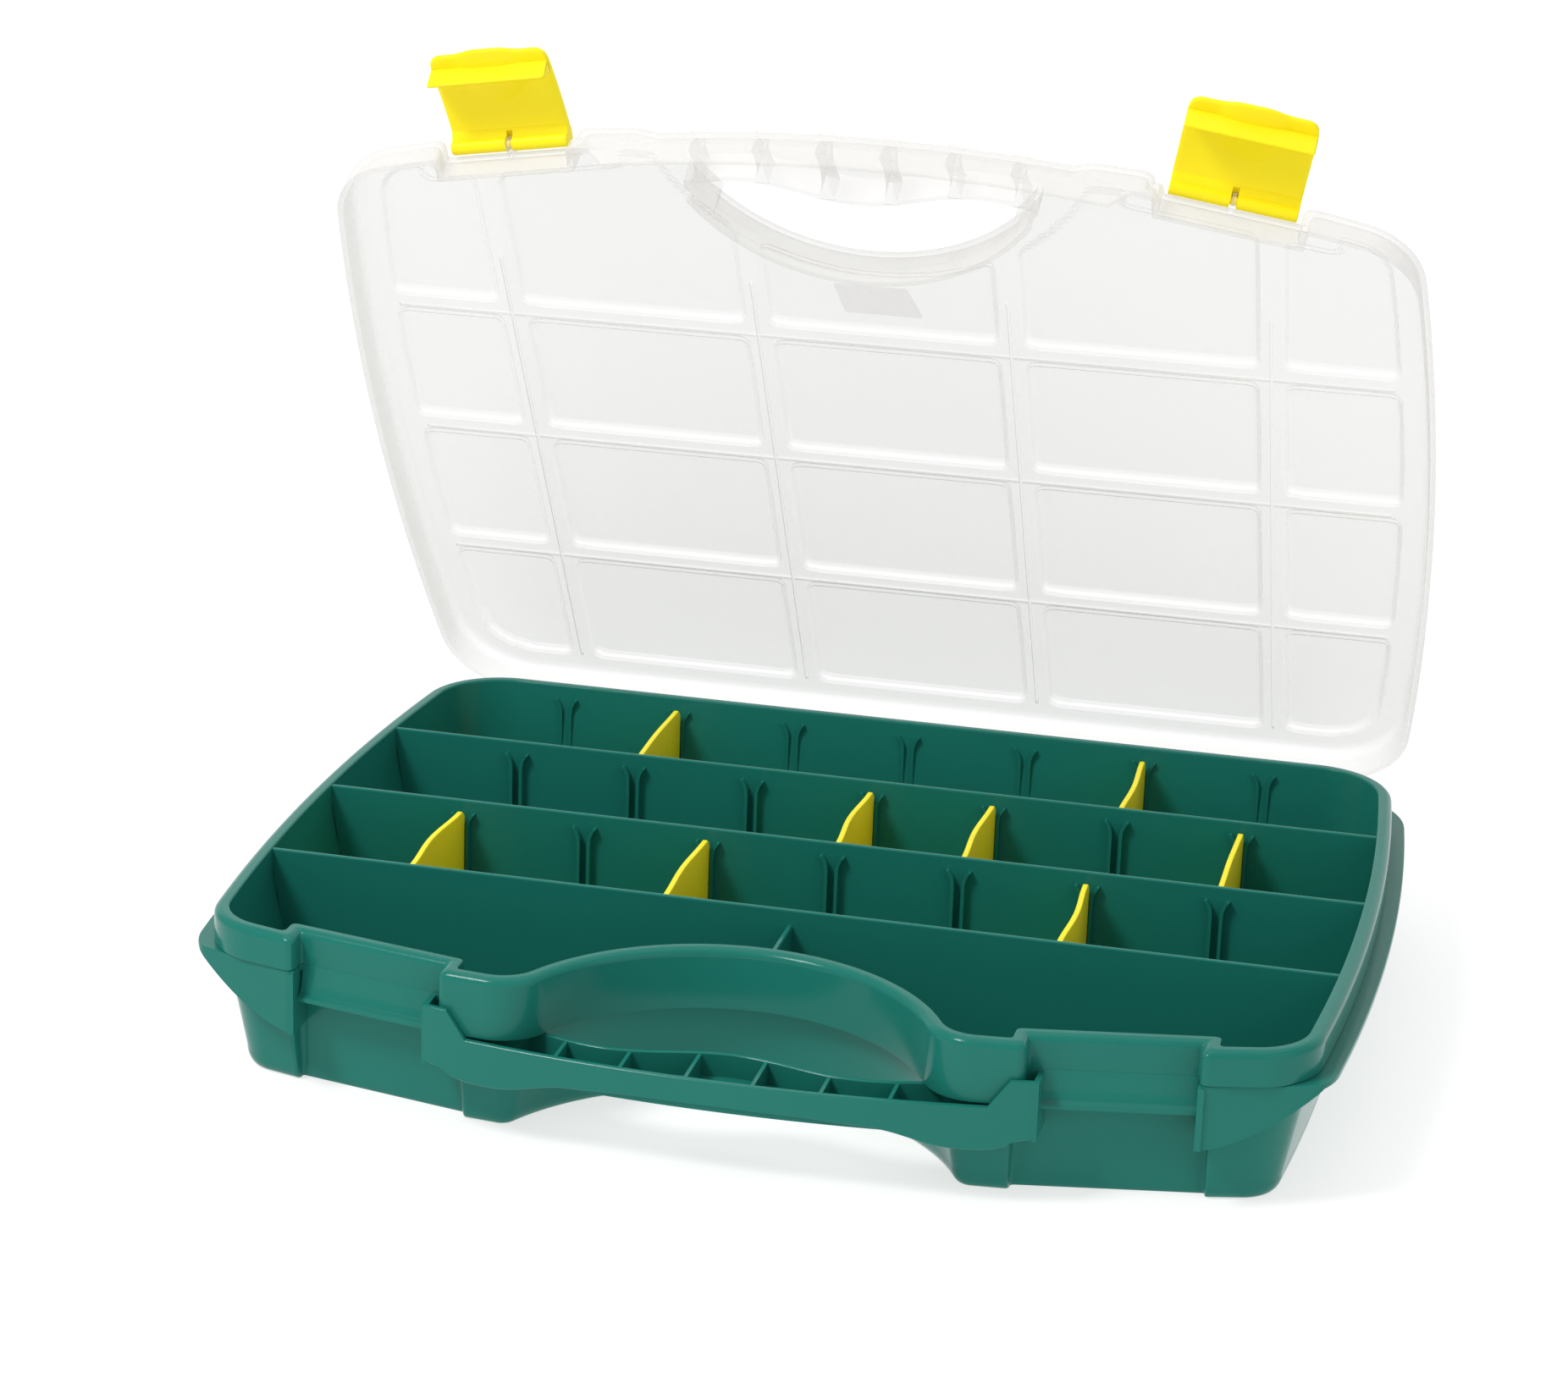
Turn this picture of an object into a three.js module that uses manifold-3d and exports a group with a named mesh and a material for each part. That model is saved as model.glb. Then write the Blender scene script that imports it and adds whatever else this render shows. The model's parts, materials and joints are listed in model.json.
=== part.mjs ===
// Compartment organiser case: a moulded tray with a carrying handle, a hinged translucent lid,
// two snap latches and loose dividers. Millimetres, +Z up, +Y towards the hinges, +X to the right.
// The origin is the centre of the tray's flat underside. The lid stands part open.

import * as THREE from 'three';
import { mergeVertices } from 'three/addons/utils/BufferGeometryUtils.js';
import Module from 'manifold-3d';

const wasm = await Module();
wasm.setup();

// ---- Driving dimensions ----

const GAP = 0.3; // clearance between neighbouring pieces

// Plan of the tray's inner rim line
const BACK_Y = 137;
const SIDE_HALF_WIDTH = 178.5; // at the widest point of the bowed sides
const SIDE_RADIUS = 1064;
const SIDE_WIDEST_Y = 7;
const BACK_CORNER_RADIUS = 24;
const FRONT_CORNER_RADIUS = 19;
const LIP_START = new THREE.Vector2(148.2, -119.1); // front lip beside the latch pocket
const LIP_SLOPE_DEG = 15;
const POCKET_INNER_X = 87.2;
const POCKET_OUTER_X = 148.2;
const POCKET_CENTRE = new THREE.Vector2(119.5, -117.5);
const POCKET_SLOPE = 0.2;
const POCKET_ANGLE = Math.atan(POCKET_SLOPE);
const CHEEK_X = 143.2; // outer cheek of the pocket, where the corner apron starts
const CHEEK_BOTTOM = 21.3;
const APRON_WIDTH = 37; // the apron's lower edge curves up to the ledge within this width
const APRON_RISE = 20;
const APRON_CURVE = 1.75;
const COLUMN_CENTRE = new THREE.Vector2(75.5, -120.8);
const COLUMN_RADIUS = 12;
const COLUMN_SHOULDER_Y = -131.6;
const ARC_CENTRE_Y = -158.8; // finger arc in front of the handle
const ARC_RADIUS = 72.5;

// Front envelope of handle, aprons and lid: y = FRONT_Y + x^2 / FRONT_BOW
const FRONT_Y = -147;
const FRONT_BOW = 950;
const FRONT_STEP = 12; // spacing of the stations that the bow is drawn through
const LID_FRONT_HALF = 96.5; // half width of the lid's front between the latch pockets
const LEDGE_BACK_Y = 145;

// Handle: hollow, with its finger side drawn as a wave
const HANDLE_HALF = 97;
const HANDLE_SKIN = 2.2;
const GRIP_FLOOR = 23.5;
const GRIP_RIBS = [-52.5, -31.5, -10.5, 10.5, 31.5, 52.5];
const GRIP_RIB_HALF = 0.6;
const FINGER_Y = -126.6;
const FINGER_WAVE = 3.3;
const FINGER_WAVELENGTH = 76;
const FINGER_WALL = 1.8;
const FINGER_STEP = 4; // spacing of the stations along the wave
const HANDLE_LOW_EDGE = [ // x and z along the right half of the front plate's lower edge
  [0, 25.5], [30, 25.2], [52, 23.9], [63, 20.8], [70, 19.2], [83, 19.4], [87, 20.2], [91.5, 23.6],
  [HANDLE_HALF, 23.7],
];

// Heights
const FLOOR = 2.2;
const RIM_TOP = 54;
const LEDGE_TOP = 42.5;
const LEDGE_THICKNESS = 2;
const HANDLE_PARTING = 33.6;
const WALL_TOP = 53.4;
const RIB_TOP = 49.3;
const PARTITION_TOP = 48.4;
const DIVIDER_TOP = 50.9;

// Tray section
const RIM_THICKNESS = 5;
const WALL_THICKNESS = 2.2;
const BODY_TOP_OFFSET = 2;
const BODY_LOW_OFFSET = -4.6;
const BODY_LOW_Z = 8;
const FOOT_OFFSET = -6.6; // the underside's outline, inside the rounded bottom edge
const LEDGE_OFFSET = 10.3;
const BACK_DRAFT = 0.35; // the back wall leans by this share of the others' draft
const BACK_DRAFT_Y = 95; // from here towards the back the draft fades to that share
const BACK_DRAFT_FADE = 40;

// Rows and slots
const ROW_PITCH = 63.2;
const SLOT_PITCH = 43.5;
const SLOT_COUNT = 7;
const LONG_WALL_THICKNESS = 2;
const RIB_DEPTH = 2.6;
const RIB_WIDTH = 1.1;
const SLOT_WIDTH = 2.5;
const DIVIDER_THICKNESS = 1.9;
const DIVIDER_LENGTH = 58;
const DIVIDER_SLOTS = [[2, 6], [4, 5, 7], [1, 3, 6]]; // by row, from the back

// Lid
const LID_CLEARANCE = 0.8;
const LID_WALL = 1.9;
const LID_BOTTOM = LEDGE_TOP + GAP;
const LID_TOP = 58.6;
const LID_SKIN = 1.8;
const LID_INNER = RIM_THICKNESS + LID_CLEARANCE; // offsets of the skirt from the rim line
const LID_OUTER = LID_INNER + LID_WALL;
const STRIP_HALF = 3.6; // half width of the flat strips between the raised panels
const PANEL_RAISE = 2.3;
const PANEL_SLOPE = 3;
const LID_OPEN_DEG = 58.3;

// Hinge
const HINGE_Y = 147.5;
const HINGE_Z = 35.3;
const PIN_RADIUS = 2;
const KNUCKLE_RADIUS = 3.7;
const KNUCKLE_WIDTH = 14;
const EAR_WIDTH = 3.6;
const EAR_GAP = 1.6; // between a knuckle's end and its ear
const EAR_INNER = KNUCKLE_WIDTH / 2 + EAR_GAP;
const HINGE_STATIONS = { left: -3 * SLOT_PITCH, centre: 0, right: 3 * SLOT_PITCH };

// Latch, in its pocket's own frame: u along the axis, v outwards from the rim line, z up
const LATCH_PIVOT_X = 118.8;
const LATCH_PIVOT_V = 10.6;
const LATCH_PIVOT_Z = 56;
const LATCH_HALF_WIDTH = 20.8;
const LATCH_OPEN_DEG = 100;
const CATCH_INNER_U = 20.9;
const CATCH_OUTER_U = 25.3; // as far as the apron's cheek
const CATCH_V = 9;
const CATCH_TOP_Z = 33;
const CATCH_BOTTOM_Z = 31.3;
const AXLE_RADIUS = 1.3;

// ---- Plan outlines ----

const point = (x, y) => new THREE.Vector2(x, y);
const radians = THREE.MathUtils.degToRad;
const frontY = (x, inset = 0) => FRONT_Y + inset + (x * x) / FRONT_BOW;
const pocketLineY = (x) => POCKET_CENTRE.y + POCKET_SLOPE * (x - POCKET_CENTRE.x);
const fingerY = (x) => FINGER_Y + FINGER_WAVE * Math.cos((2 * Math.PI * x) / FINGER_WAVELENGTH);
const LATCH_PIVOT_Y = pocketLineY(LATCH_PIVOT_X) - LATCH_PIVOT_V / Math.cos(POCKET_ANGLE);

function arcPoints(centre, radius, fromDeg, toDeg, steps) {
  const points = [];
  for (let i = 0; i <= steps; i++) {
    const angle = radians(fromDeg + ((toDeg - fromDeg) * i) / steps);
    points.push(point(centre.x + radius * Math.cos(angle), centre.y + radius * Math.sin(angle)));
  }
  return points;
}

const degreesTo = (from, to) => THREE.MathUtils.radToDeg(Math.atan2(to.y - from.y, to.x - from.x));

// The tray's inner rim line, anticlockwise from the middle of the front.
function rimLine() {
  const sideCentre = point(SIDE_HALF_WIDTH - SIDE_RADIUS, SIDE_WIDEST_Y);
  const arcCentre = point(0, ARC_CENTRE_Y);
  const columnTurn = degreesTo(arcCentre, COLUMN_CENTRE);

  const lip = point(Math.cos(radians(LIP_SLOPE_DEG)), Math.sin(radians(LIP_SLOPE_DEG)));
  const lipNormal = point(-lip.y, lip.x);
  const toLip = LIP_START.clone().addScaledVector(lipNormal, FRONT_CORNER_RADIUS).sub(sideCentre);
  const reach = SIDE_RADIUS - FRONT_CORNER_RADIUS;
  const along = -toLip.dot(lip) + Math.sqrt(toLip.dot(lip) ** 2 - toLip.lengthSq() + reach ** 2);
  const frontCorner = LIP_START.clone()
    .addScaledVector(lipNormal, FRONT_CORNER_RADIUS)
    .addScaledVector(lip, along);

  const backCornerY = BACK_Y - BACK_CORNER_RADIUS;
  const backReach = SIDE_RADIUS - BACK_CORNER_RADIUS;
  const backCorner = point(
    sideCentre.x + Math.sqrt(backReach ** 2 - (backCornerY - SIDE_WIDEST_Y) ** 2),
    backCornerY,
  );
  const frontTurn = degreesTo(sideCentre, frontCorner);
  const backTurn = degreesTo(sideCentre, backCorner);

  const right = [
    ...arcPoints(arcCentre, ARC_RADIUS, 90, columnTurn, 8),
    ...arcPoints(COLUMN_CENTRE, COLUMN_RADIUS, columnTurn + 180, 275, 5).slice(1),
    point(POCKET_INNER_X, COLUMN_SHOULDER_Y),
    point(POCKET_INNER_X, pocketLineY(POCKET_INNER_X)),
    point(POCKET_OUTER_X, pocketLineY(POCKET_OUTER_X)),
    LIP_START,
    ...arcPoints(frontCorner, FRONT_CORNER_RADIUS, LIP_SLOPE_DEG - 90, frontTurn, 5),
    ...arcPoints(sideCentre, SIDE_RADIUS, frontTurn, backTurn, 7).slice(1),
    ...arcPoints(backCorner, BACK_CORNER_RADIUS, backTurn, 90, 5).slice(1),
  ];
  const left = right.slice(1).reverse().map((p) => point(-p.x, p.y));
  return [...right, ...left];
}

const RIM_LINE = rimLine();

// Moves an outline outwards; the back moves less where the offset is draft.
function offsetLine(line, distance, backShare = 1) {
  return line.map((p, i) => {
    const before = line[(i + line.length - 1) % line.length];
    const after = line[(i + 1) % line.length];
    const first = p.clone().sub(before).normalize();
    const second = after.clone().sub(p).normalize();
    const mitre = point(first.y + second.y, -first.x - second.x).divideScalar(1 + first.dot(second));
    const backness = THREE.MathUtils.clamp((p.y - BACK_DRAFT_Y) / BACK_DRAFT_FADE, 0, 1);
    return p.clone().addScaledVector(mitre, distance * (1 - (1 - backShare) * backness));
  });
}

// ---- Solids ----

// A closed geometry through rings of equally many points, lowest ring first.
function loft(rings) {
  const count = rings[0].line.length;
  const positions = rings.flatMap(({ z, line }) => line.flatMap((p) => [p.x, p.y, z]));
  const indices = [];
  for (let ring = 0; ring + 1 < rings.length; ring++) {
    for (let i = 0; i < count; i++) {
      const a = ring * count + i;
      const b = ring * count + ((i + 1) % count);
      indices.push(a, b, b + count, a, b + count, a + count);
    }
  }
  const top = (rings.length - 1) * count;
  for (const [a, b, c] of THREE.ShapeUtils.triangulateShape(rings[0].line, [])) indices.push(c, b, a);
  for (const [a, b, c] of THREE.ShapeUtils.triangulateShape(rings.at(-1).line, [])) {
    indices.push(a + top, b + top, c + top);
  }
  const geometry = new THREE.BufferGeometry();
  geometry.setAttribute('position', new THREE.Float32BufferAttribute(positions, 3));
  geometry.setIndex(indices);
  return geometry;
}

function toSolid(geometry) {
  const bare = geometry.clone();
  bare.deleteAttribute('normal');
  bare.deleteAttribute('uv');
  const merged = mergeVertices(bare, 1e-4);
  return new wasm.Manifold(new wasm.Mesh({
    numProp: 3,
    vertProperties: new Float32Array(merged.attributes.position.array),
    triVerts: new Uint32Array(merged.index.array),
  }));
}

function toGeometry(solid) {
  const mesh = solid.getMesh();
  const geometry = new THREE.BufferGeometry();
  geometry.setAttribute('position', new THREE.BufferAttribute(new Float32Array(mesh.vertProperties), 3));
  geometry.setIndex(new THREE.BufferAttribute(new Uint32Array(mesh.triVerts), 1));
  return geometry;
}

const joined = (...solids) => solids.flat().reduce((sum, solid) => sum.add(solid));
const without = (solid, ...cuts) => cuts.flat().reduce((rest, cut) => rest.subtract(cut), solid);
const lofted = (...rings) => toSolid(loft(rings.map(([z, line]) => ({ z, line }))));
const prism = (line, low, high) => lofted([low, line], [high, line]);

function block(x0, x1, y0, y1, z0, z1) {
  const geometry = new THREE.BoxGeometry(x1 - x0, y1 - y0, z1 - z0);
  return toSolid(geometry.translate((x0 + x1) / 2, (y0 + y1) / 2, (z0 + z1) / 2));
}

// A profile of (y, z) points extruded along X.
function alongX(profile, x0, x1) {
  const geometry = new THREE.ExtrudeGeometry(
    new THREE.Shape(profile.map(([y, z]) => point(y, z))),
    { depth: x1 - x0, bevelEnabled: false },
  );
  const axes = new THREE.Matrix4().makeBasis(
    new THREE.Vector3(0, 1, 0), new THREE.Vector3(0, 0, 1), new THREE.Vector3(1, 0, 0));
  return toSolid(geometry.applyMatrix4(axes).translate(x0, 0, 0));
}

// A profile of (x, z) points extruded along Y.
function alongY(profile, y0, y1) {
  const geometry = new THREE.ExtrudeGeometry(
    new THREE.Shape(profile.map(([x, z]) => point(x, z))),
    { depth: y1 - y0, bevelEnabled: false },
  );
  return toSolid(geometry.rotateX(Math.PI / 2).translate(0, y1, 0));
}

// A rod along X.
function rod(radius, x0, x1, y, z, sides = 24) {
  const geometry = new THREE.CylinderGeometry(radius, radius, x1 - x0, sides);
  return toSolid(geometry.rotateZ(Math.PI / 2).translate((x0 + x1) / 2, y, z));
}

// An upright disc or cone.
function cone(lowRadius, highRadius, z0, z1, y, sides = 72) {
  const geometry = new THREE.CylinderGeometry(highRadius, lowRadius, z1 - z0, sides);
  return toSolid(geometry.rotateX(Math.PI / 2).translate(0, y, (z0 + z1) / 2));
}

// Points along the front bow from x0 to x1, at shared stations so that neighbouring surfaces agree.
function frontPoints(x0, x1, inset = 0) {
  const stations = [x0];
  const first = Math.floor(x0 / FRONT_STEP) + 1;
  for (let i = first; i * FRONT_STEP < x1; i++) stations.push(i * FRONT_STEP);
  return [...stations, x1].map((x) => point(x, frontY(x, inset)));
}

// The region behind the front bow, from x0 to x1 and back to y1.
const behindFront = (x0, x1, y1, z0, z1, inset = 0) => prism(
  [...frontPoints(x0, x1, inset), point(x1, y1), point(x0, y1)], z0, z1);

// Points along the finger side of the handle from -half to half, moved forwards by the distance.
function fingerPoints(half, forwards) {
  const steps = Math.ceil((2 * half) / FINGER_STEP);
  return Array.from({ length: steps + 1 }, (_, i) => {
    const x = -half + (2 * half * i) / steps;
    return point(x, fingerY(x) - forwards);
  });
}

// The same solid on the left and on the right.
const bothSides = (solid) => joined(solid, solid.mirror([1, 0, 0]));

// From a pocket's own frame (u along X, v along -Y, origin at the latch axis) to the right pocket.
function inRightPocket(solid) {
  const degrees = THREE.MathUtils.radToDeg(POCKET_ANGLE);
  return solid.rotate([0, 0, degrees]).translate([LATCH_PIVOT_X, LATCH_PIVOT_Y, 0]);
}

// ---- Tray ----

const bodyOffset = (z) => {
  const rise = (z - BODY_LOW_Z) / (LEDGE_TOP - BODY_LOW_Z);
  return BODY_LOW_OFFSET + rise * (BODY_TOP_OFFSET - BODY_LOW_OFFSET);
};
const bodyLine = (z, grow = 0) => offsetLine(RIM_LINE, bodyOffset(z) + grow, BACK_DRAFT);

function bodyOutside(grow = 0) {
  return lofted(
    [-grow, offsetLine(RIM_LINE, FOOT_OFFSET + grow, BACK_DRAFT)],
    [1.2 - grow, offsetLine(RIM_LINE, FOOT_OFFSET + 0.4 + grow, BACK_DRAFT)],
    [4, offsetLine(RIM_LINE, FOOT_OFFSET + 1.2 + grow, BACK_DRAFT)],
    [BODY_LOW_Z, bodyLine(BODY_LOW_Z, grow)],
    [LEDGE_TOP, bodyLine(LEDGE_TOP, grow)],
  );
}

function cavity(shrink = 0) {
  const inset = -WALL_THICKNESS - shrink;
  return lofted(
    [FLOOR + shrink, offsetLine(RIM_LINE, FOOT_OFFSET - shrink, BACK_DRAFT)],
    [BODY_LOW_Z, bodyLine(BODY_LOW_Z, inset)],
    [LEDGE_TOP, bodyLine(LEDGE_TOP, inset)],
    [RIM_TOP + 2, offsetLine(RIM_LINE, -shrink)],
  );
}

function upstand(grow = 0) {
  const outer = RIM_THICKNESS + grow;
  const ring = lofted(
    [LEDGE_TOP - 2, offsetLine(RIM_LINE, outer)],
    [RIM_TOP - 2, offsetLine(RIM_LINE, outer)],
    [RIM_TOP - 0.6, offsetLine(RIM_LINE, outer - 0.8)],
    [RIM_TOP + grow, offsetLine(RIM_LINE, outer - 2)],
  );
  const arcPart = prism(offsetLine(RIM_LINE, outer), HANDLE_PARTING - 2, LEDGE_TOP)
    .intersect(block(-70, 70, -150, -60, 0, 60));
  return joined(ring, arcPart);
}

function ledge() {
  const plate = prism(offsetLine(RIM_LINE, LEDGE_OFFSET), LEDGE_TOP - LEDGE_THICKNESS, LEDGE_TOP);
  const envelope = behindFront(-200, 200, LEDGE_BACK_Y, 0, 60);
  const pocket = block(POCKET_INNER_X - 6, CHEEK_X, -160, -118, 30, 50);
  const middle = block(-90, 90, -160, -60, 30, 50);
  return without(plate.intersect(envelope), pocket, pocket.mirror([1, 0, 0]), middle);
}

// The front corner apron hangs from the ledge, deepest beside the latch pocket.
function rightApron() {
  const skin = 2;
  const top = LEDGE_TOP - 1;
  const outside = (inset) => prism(offsetLine(RIM_LINE, LEDGE_OFFSET - inset), CHEEK_BOTTOM, top)
    .intersect(behindFront(120, 200, 0, 0, 60, inset));
  const shares = Array.from({ length: 10 }, (_, i) => i / 9);
  const edge = shares.map((share) => [
    CHEEK_X + APRON_WIDTH * share, CHEEK_BOTTOM + APRON_RISE * share ** APRON_CURVE,
  ]);
  const region = alongY([...edge, [200, LEDGE_TOP], [200, 60], [CHEEK_X, 60]], -150, -40);
  const hanging = without(outside(0), outside(skin)).intersect(region);
  const cheekBack = pocketLineY(CHEEK_X) + 1;
  const cheek = block(CHEEK_X, CHEEK_X + skin, frontY(CHEEK_X), cheekBack, CHEEK_BOTTOM, top);
  return joined(hanging, cheek);
}

// A ramp across the pocket with an undercut below it, which the latch hooks under.
function rightCatch() {
  const v = (value) => LATCH_PIVOT_V - value; // from the rim line to this frame's +Y
  return inRightPocket(alongX([
    [v(-1.5), 42.3], [v(-1.5), 27], [v(3.5), CATCH_BOTTOM_Z], [v(CATCH_V), CATCH_BOTTOM_Z],
    [v(CATCH_V), CATCH_TOP_Z], [v(5.2), 42.3],
  ], -CATCH_INNER_U, CATCH_OUTER_U));
}

function hingeEars(x) {
  const profile = [
    [136.5, 30.5], [148, 31], [150.8, 33.5], [150.8, 37.5], [149, 41], [145, 42.4], [136.5, 42.4],
  ];
  const outer = EAR_INNER + EAR_WIDTH;
  const ears = joined(alongX(profile, x - outer, x - EAR_INNER), alongX(profile, x + EAR_INNER, x + outer));
  return without(ears, rod(PIN_RADIUS + GAP, x - outer - 1, x + outer + 1, HINGE_Y, HINGE_Z));
}

function hingeNotch(x) {
  return block(x - EAR_INNER, x + EAR_INNER, 142.7, 160, 30, LEDGE_TOP + 1);
}

function slotRibs(slot, y0, y1) {
  const x = (slot - (SLOT_COUNT + 1) / 2) * SLOT_PITCH;
  const near = SLOT_WIDTH / 2;
  const far = near + RIB_WIDTH;
  return [[-far, -near], [near, far]].map(([a, b]) => block(x + a, x + b, y0, y1, FLOOR + 0.6, RIB_TOP));
}

const slots = Array.from({ length: SLOT_COUNT }, (_, i) => i + 1);

function trayShell() {
  const stations = Object.values(HINGE_STATIONS);
  const outside = joined(
    bodyOutside(), upstand(), ledge(),
    bothSides(rightApron()), bothSides(rightCatch()),
    stations.map(hingeEars),
  );
  const hollowed = without(outside, cavity(), stations.map(hingeNotch));
  const ribs = slots.flatMap((slot) => slotRibs(slot, BACK_Y - RIB_DEPTH, BACK_Y + 3));
  return joined(hollowed, joined(ribs).intersect(cavity(-1)));
}

const longWallFront = (row) => BACK_Y - row * ROW_PITCH;

function longWall(row) {
  const front = longWallFront(row);
  const back = front + LONG_WALL_THICKNESS;
  const plate = block(-190, 190, front, back, FLOOR, WALL_TOP);
  const ribs = slots.flatMap((slot) => [
    ...slotRibs(slot, back - 0.5, back + RIB_DEPTH),
    ...(row < DIVIDER_SLOTS.length ? slotRibs(slot, front - RIB_DEPTH, front + 0.5) : []),
  ]);
  return joined(plate, ribs).intersect(cavity(GAP));
}

function shortPartition() {
  const y1 = longWallFront(DIVIDER_SLOTS.length) - GAP;
  return block(-0.9, 0.9, -100, y1, FLOOR, PARTITION_TOP).intersect(cavity(GAP));
}

// Mirrors the right half of an upright outline, whose ends lie on the middle line, to the left.
const mirroredOutline = (half) => [
  ...half, ...half.slice(1, -1).reverse().map(([x, z]) => [-x, z]),
];

// The lower half of the handle: a bowed front plate, a floor, a finger-side wall and cross ribs.
function trayHandle() {
  const top = HANDLE_PARTING - GAP;
  const endTop = LEDGE_TOP - 0.2;
  const outline = mirroredOutline([
    ...HANDLE_LOW_EDGE, [HANDLE_HALF, endTop], [88.5, endTop], [82, top], [0, top],
  ]);
  const band = without(
    behindFront(-HANDLE_HALF, HANDLE_HALF, -110, 0, 60),
    behindFront(-HANDLE_HALF - 1, HANDLE_HALF + 1, -110, -1, 61, HANDLE_SKIN),
  );
  const plate = alongY(outline, -160, -100).intersect(band);
  const fingerHalf = 66;
  const back = fingerPoints(fingerHalf, 0).reverse();
  const floorLine = [...frontPoints(-88, 88, 0.5), point(88, -122), ...back, point(-88, -122)];
  const floor = prism(floorLine, GRIP_FLOOR, GRIP_FLOOR + HANDLE_SKIN);
  const fingerWall = prism([...fingerPoints(fingerHalf, FINGER_WALL), ...back], GRIP_FLOOR, top);
  const ribs = GRIP_RIBS.map((x) => block(
    x - GRIP_RIB_HALF, x + GRIP_RIB_HALF, frontY(x) + 1, fingerY(x) - 1, GRIP_FLOOR + 1, top - 0.4));
  const cheek = block(95.2, HANDLE_HALF, frontY(96), -118, 22.9, endTop);
  const whole = joined(plate, floor, fingerWall, ribs, bothSides(cheek));
  return without(whole, bodyOutside(GAP), upstand(GAP), bothSides(rightCatch()));
}

// ---- Lid, in its closed place ----

// The finger hole with its surrounding wall of the given thickness.
function fingerHole(wall) {
  const radius = ARC_RADIUS - LID_OUTER + wall;
  const behindFingers = prism([...fingerPoints(90, wall), point(90, 0), point(-90, 0)], 20, 70);
  return cone(radius, radius, 20, 70, ARC_CENTRE_Y).intersect(behindFingers);
}

function lidEnvelope(inset, low, top) {
  const main = lofted(
    [low, offsetLine(RIM_LINE, LID_OUTER - inset)],
    [top - 4.6, offsetLine(RIM_LINE, LID_OUTER - inset - 0.4)],
    [top - 1.5, offsetLine(RIM_LINE, LID_OUTER - inset - 1.5)],
    [top, offsetLine(RIM_LINE, LID_OUTER - inset - 3.6)],
  );
  const half = LID_FRONT_HALF - inset;
  const rear = -116 + inset;
  const front = (depth) => [
    ...frontPoints(-half, half, inset + depth), point(half, rear), point(-half, rear),
  ];
  const handle = lofted(
    [low, front(0)], [top - 11, front(0)], [top - 7, front(1)], [top - 3.5, front(3.4)],
    [top - 1.1, front(7)], [top, front(11)],
  );
  return joined(main, handle);
}

// The raised panels, as one solid from z0 up to z0 + PANEL_RAISE.
function panels(z0) {
  const columns = [-200, -3 * SLOT_PITCH, -SLOT_PITCH, SLOT_PITCH, 3 * SLOT_PITCH, 200];
  const wallMiddle = (row) => longWallFront(row) + LONG_WALL_THICKNESS / 2;
  const rows = [-160, wallMiddle(3), wallMiddle(2), wallMiddle(1), 160];
  const low = z0 - 0.6;
  const high = z0 + PANEL_RAISE;
  const box = (x0, x1, y0, y1, inset) => [
    point(x0 + inset, y0 + inset), point(x1 - inset, y0 + inset),
    point(x1 - inset, y1 - inset), point(x0 + inset, y1 - inset),
  ];
  const cells = columns.slice(1).flatMap((x1, i) => rows.slice(1).map((y1, j) => lofted(
    [low, box(columns[i], x1, rows[j], y1, STRIP_HALF - 0.6)],
    [high, box(columns[i], x1, rows[j], y1, STRIP_HALF + PANEL_SLOPE)],
  )));
  const field = lofted(
    [low, offsetLine(RIM_LINE, -3.2)],
    [high, offsetLine(RIM_LINE, -3.6 - PANEL_SLOPE)],
  );
  const holeMargin = cone(77, 77 + PANEL_SLOPE, low - 1, high + 1, ARC_CENTRE_Y);
  return without(joined(cells).intersect(field), holeMargin);
}

function knuckle(x) {
  const x0 = x - KNUCKLE_WIDTH / 2;
  const x1 = x + KNUCKLE_WIDTH / 2;
  const arm = alongX(
    [[143.4, 44], [143.8, 35.3], [151.2, 35.3], [151.2, 40], [146, 52], [143.4, 52]], x0, x1);
  const ring = rod(KNUCKLE_RADIUS, x0, x1, HINGE_Y, HINGE_Z);
  return without(joined(arm, ring), rod(PIN_RADIUS + 0.35, x0 - 1, x1 + 1, HINGE_Y, HINGE_Z));
}

// A tab in the middle of each pocket carries the latch's axle.
function rightLatchTab() {
  const tab = alongX([[4, 52], [4, 57.6], [-1.5, 58.4], [-2.4, 56], [-1.8, 53.4]], -0.7, 0.7);
  return inRightPocket(without(tab, rod(AXLE_RADIUS + GAP, -2, 2, 0, LATCH_PIVOT_Z)));
}

function frontSkirt() {
  const outline = mirroredOutline([
    [0, HANDLE_PARTING], [82, HANDLE_PARTING], [88.5, LID_BOTTOM], [94, LID_BOTTOM], [94, 46], [0, 46],
  ]);
  const band = without(
    behindFront(-95, 95, -110, 0, 60), behindFront(-96, 96, -110, -1, 61, LID_WALL));
  return alongY(outline, -160, -100).intersect(band);
}

function lidBody() {
  const outside = without(
    joined(lidEnvelope(0, LID_BOTTOM, LID_TOP), panels(LID_TOP)),
    fingerHole(0),
  );
  const hollow = joined(
    without(lidEnvelope(LID_WALL, LID_BOTTOM - 5, LID_TOP - LID_SKIN), fingerHole(LID_WALL)),
    panels(LID_TOP - LID_SKIN),
  );
  const ribs = GRIP_RIBS.map((x) => block(
    x - GRIP_RIB_HALF, x + GRIP_RIB_HALF, frontY(x) + 1, fingerY(x) - 0.8, 46, LID_TOP - 5));
  return joined(without(outside, hollow), frontSkirt(), ribs);
}

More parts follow.
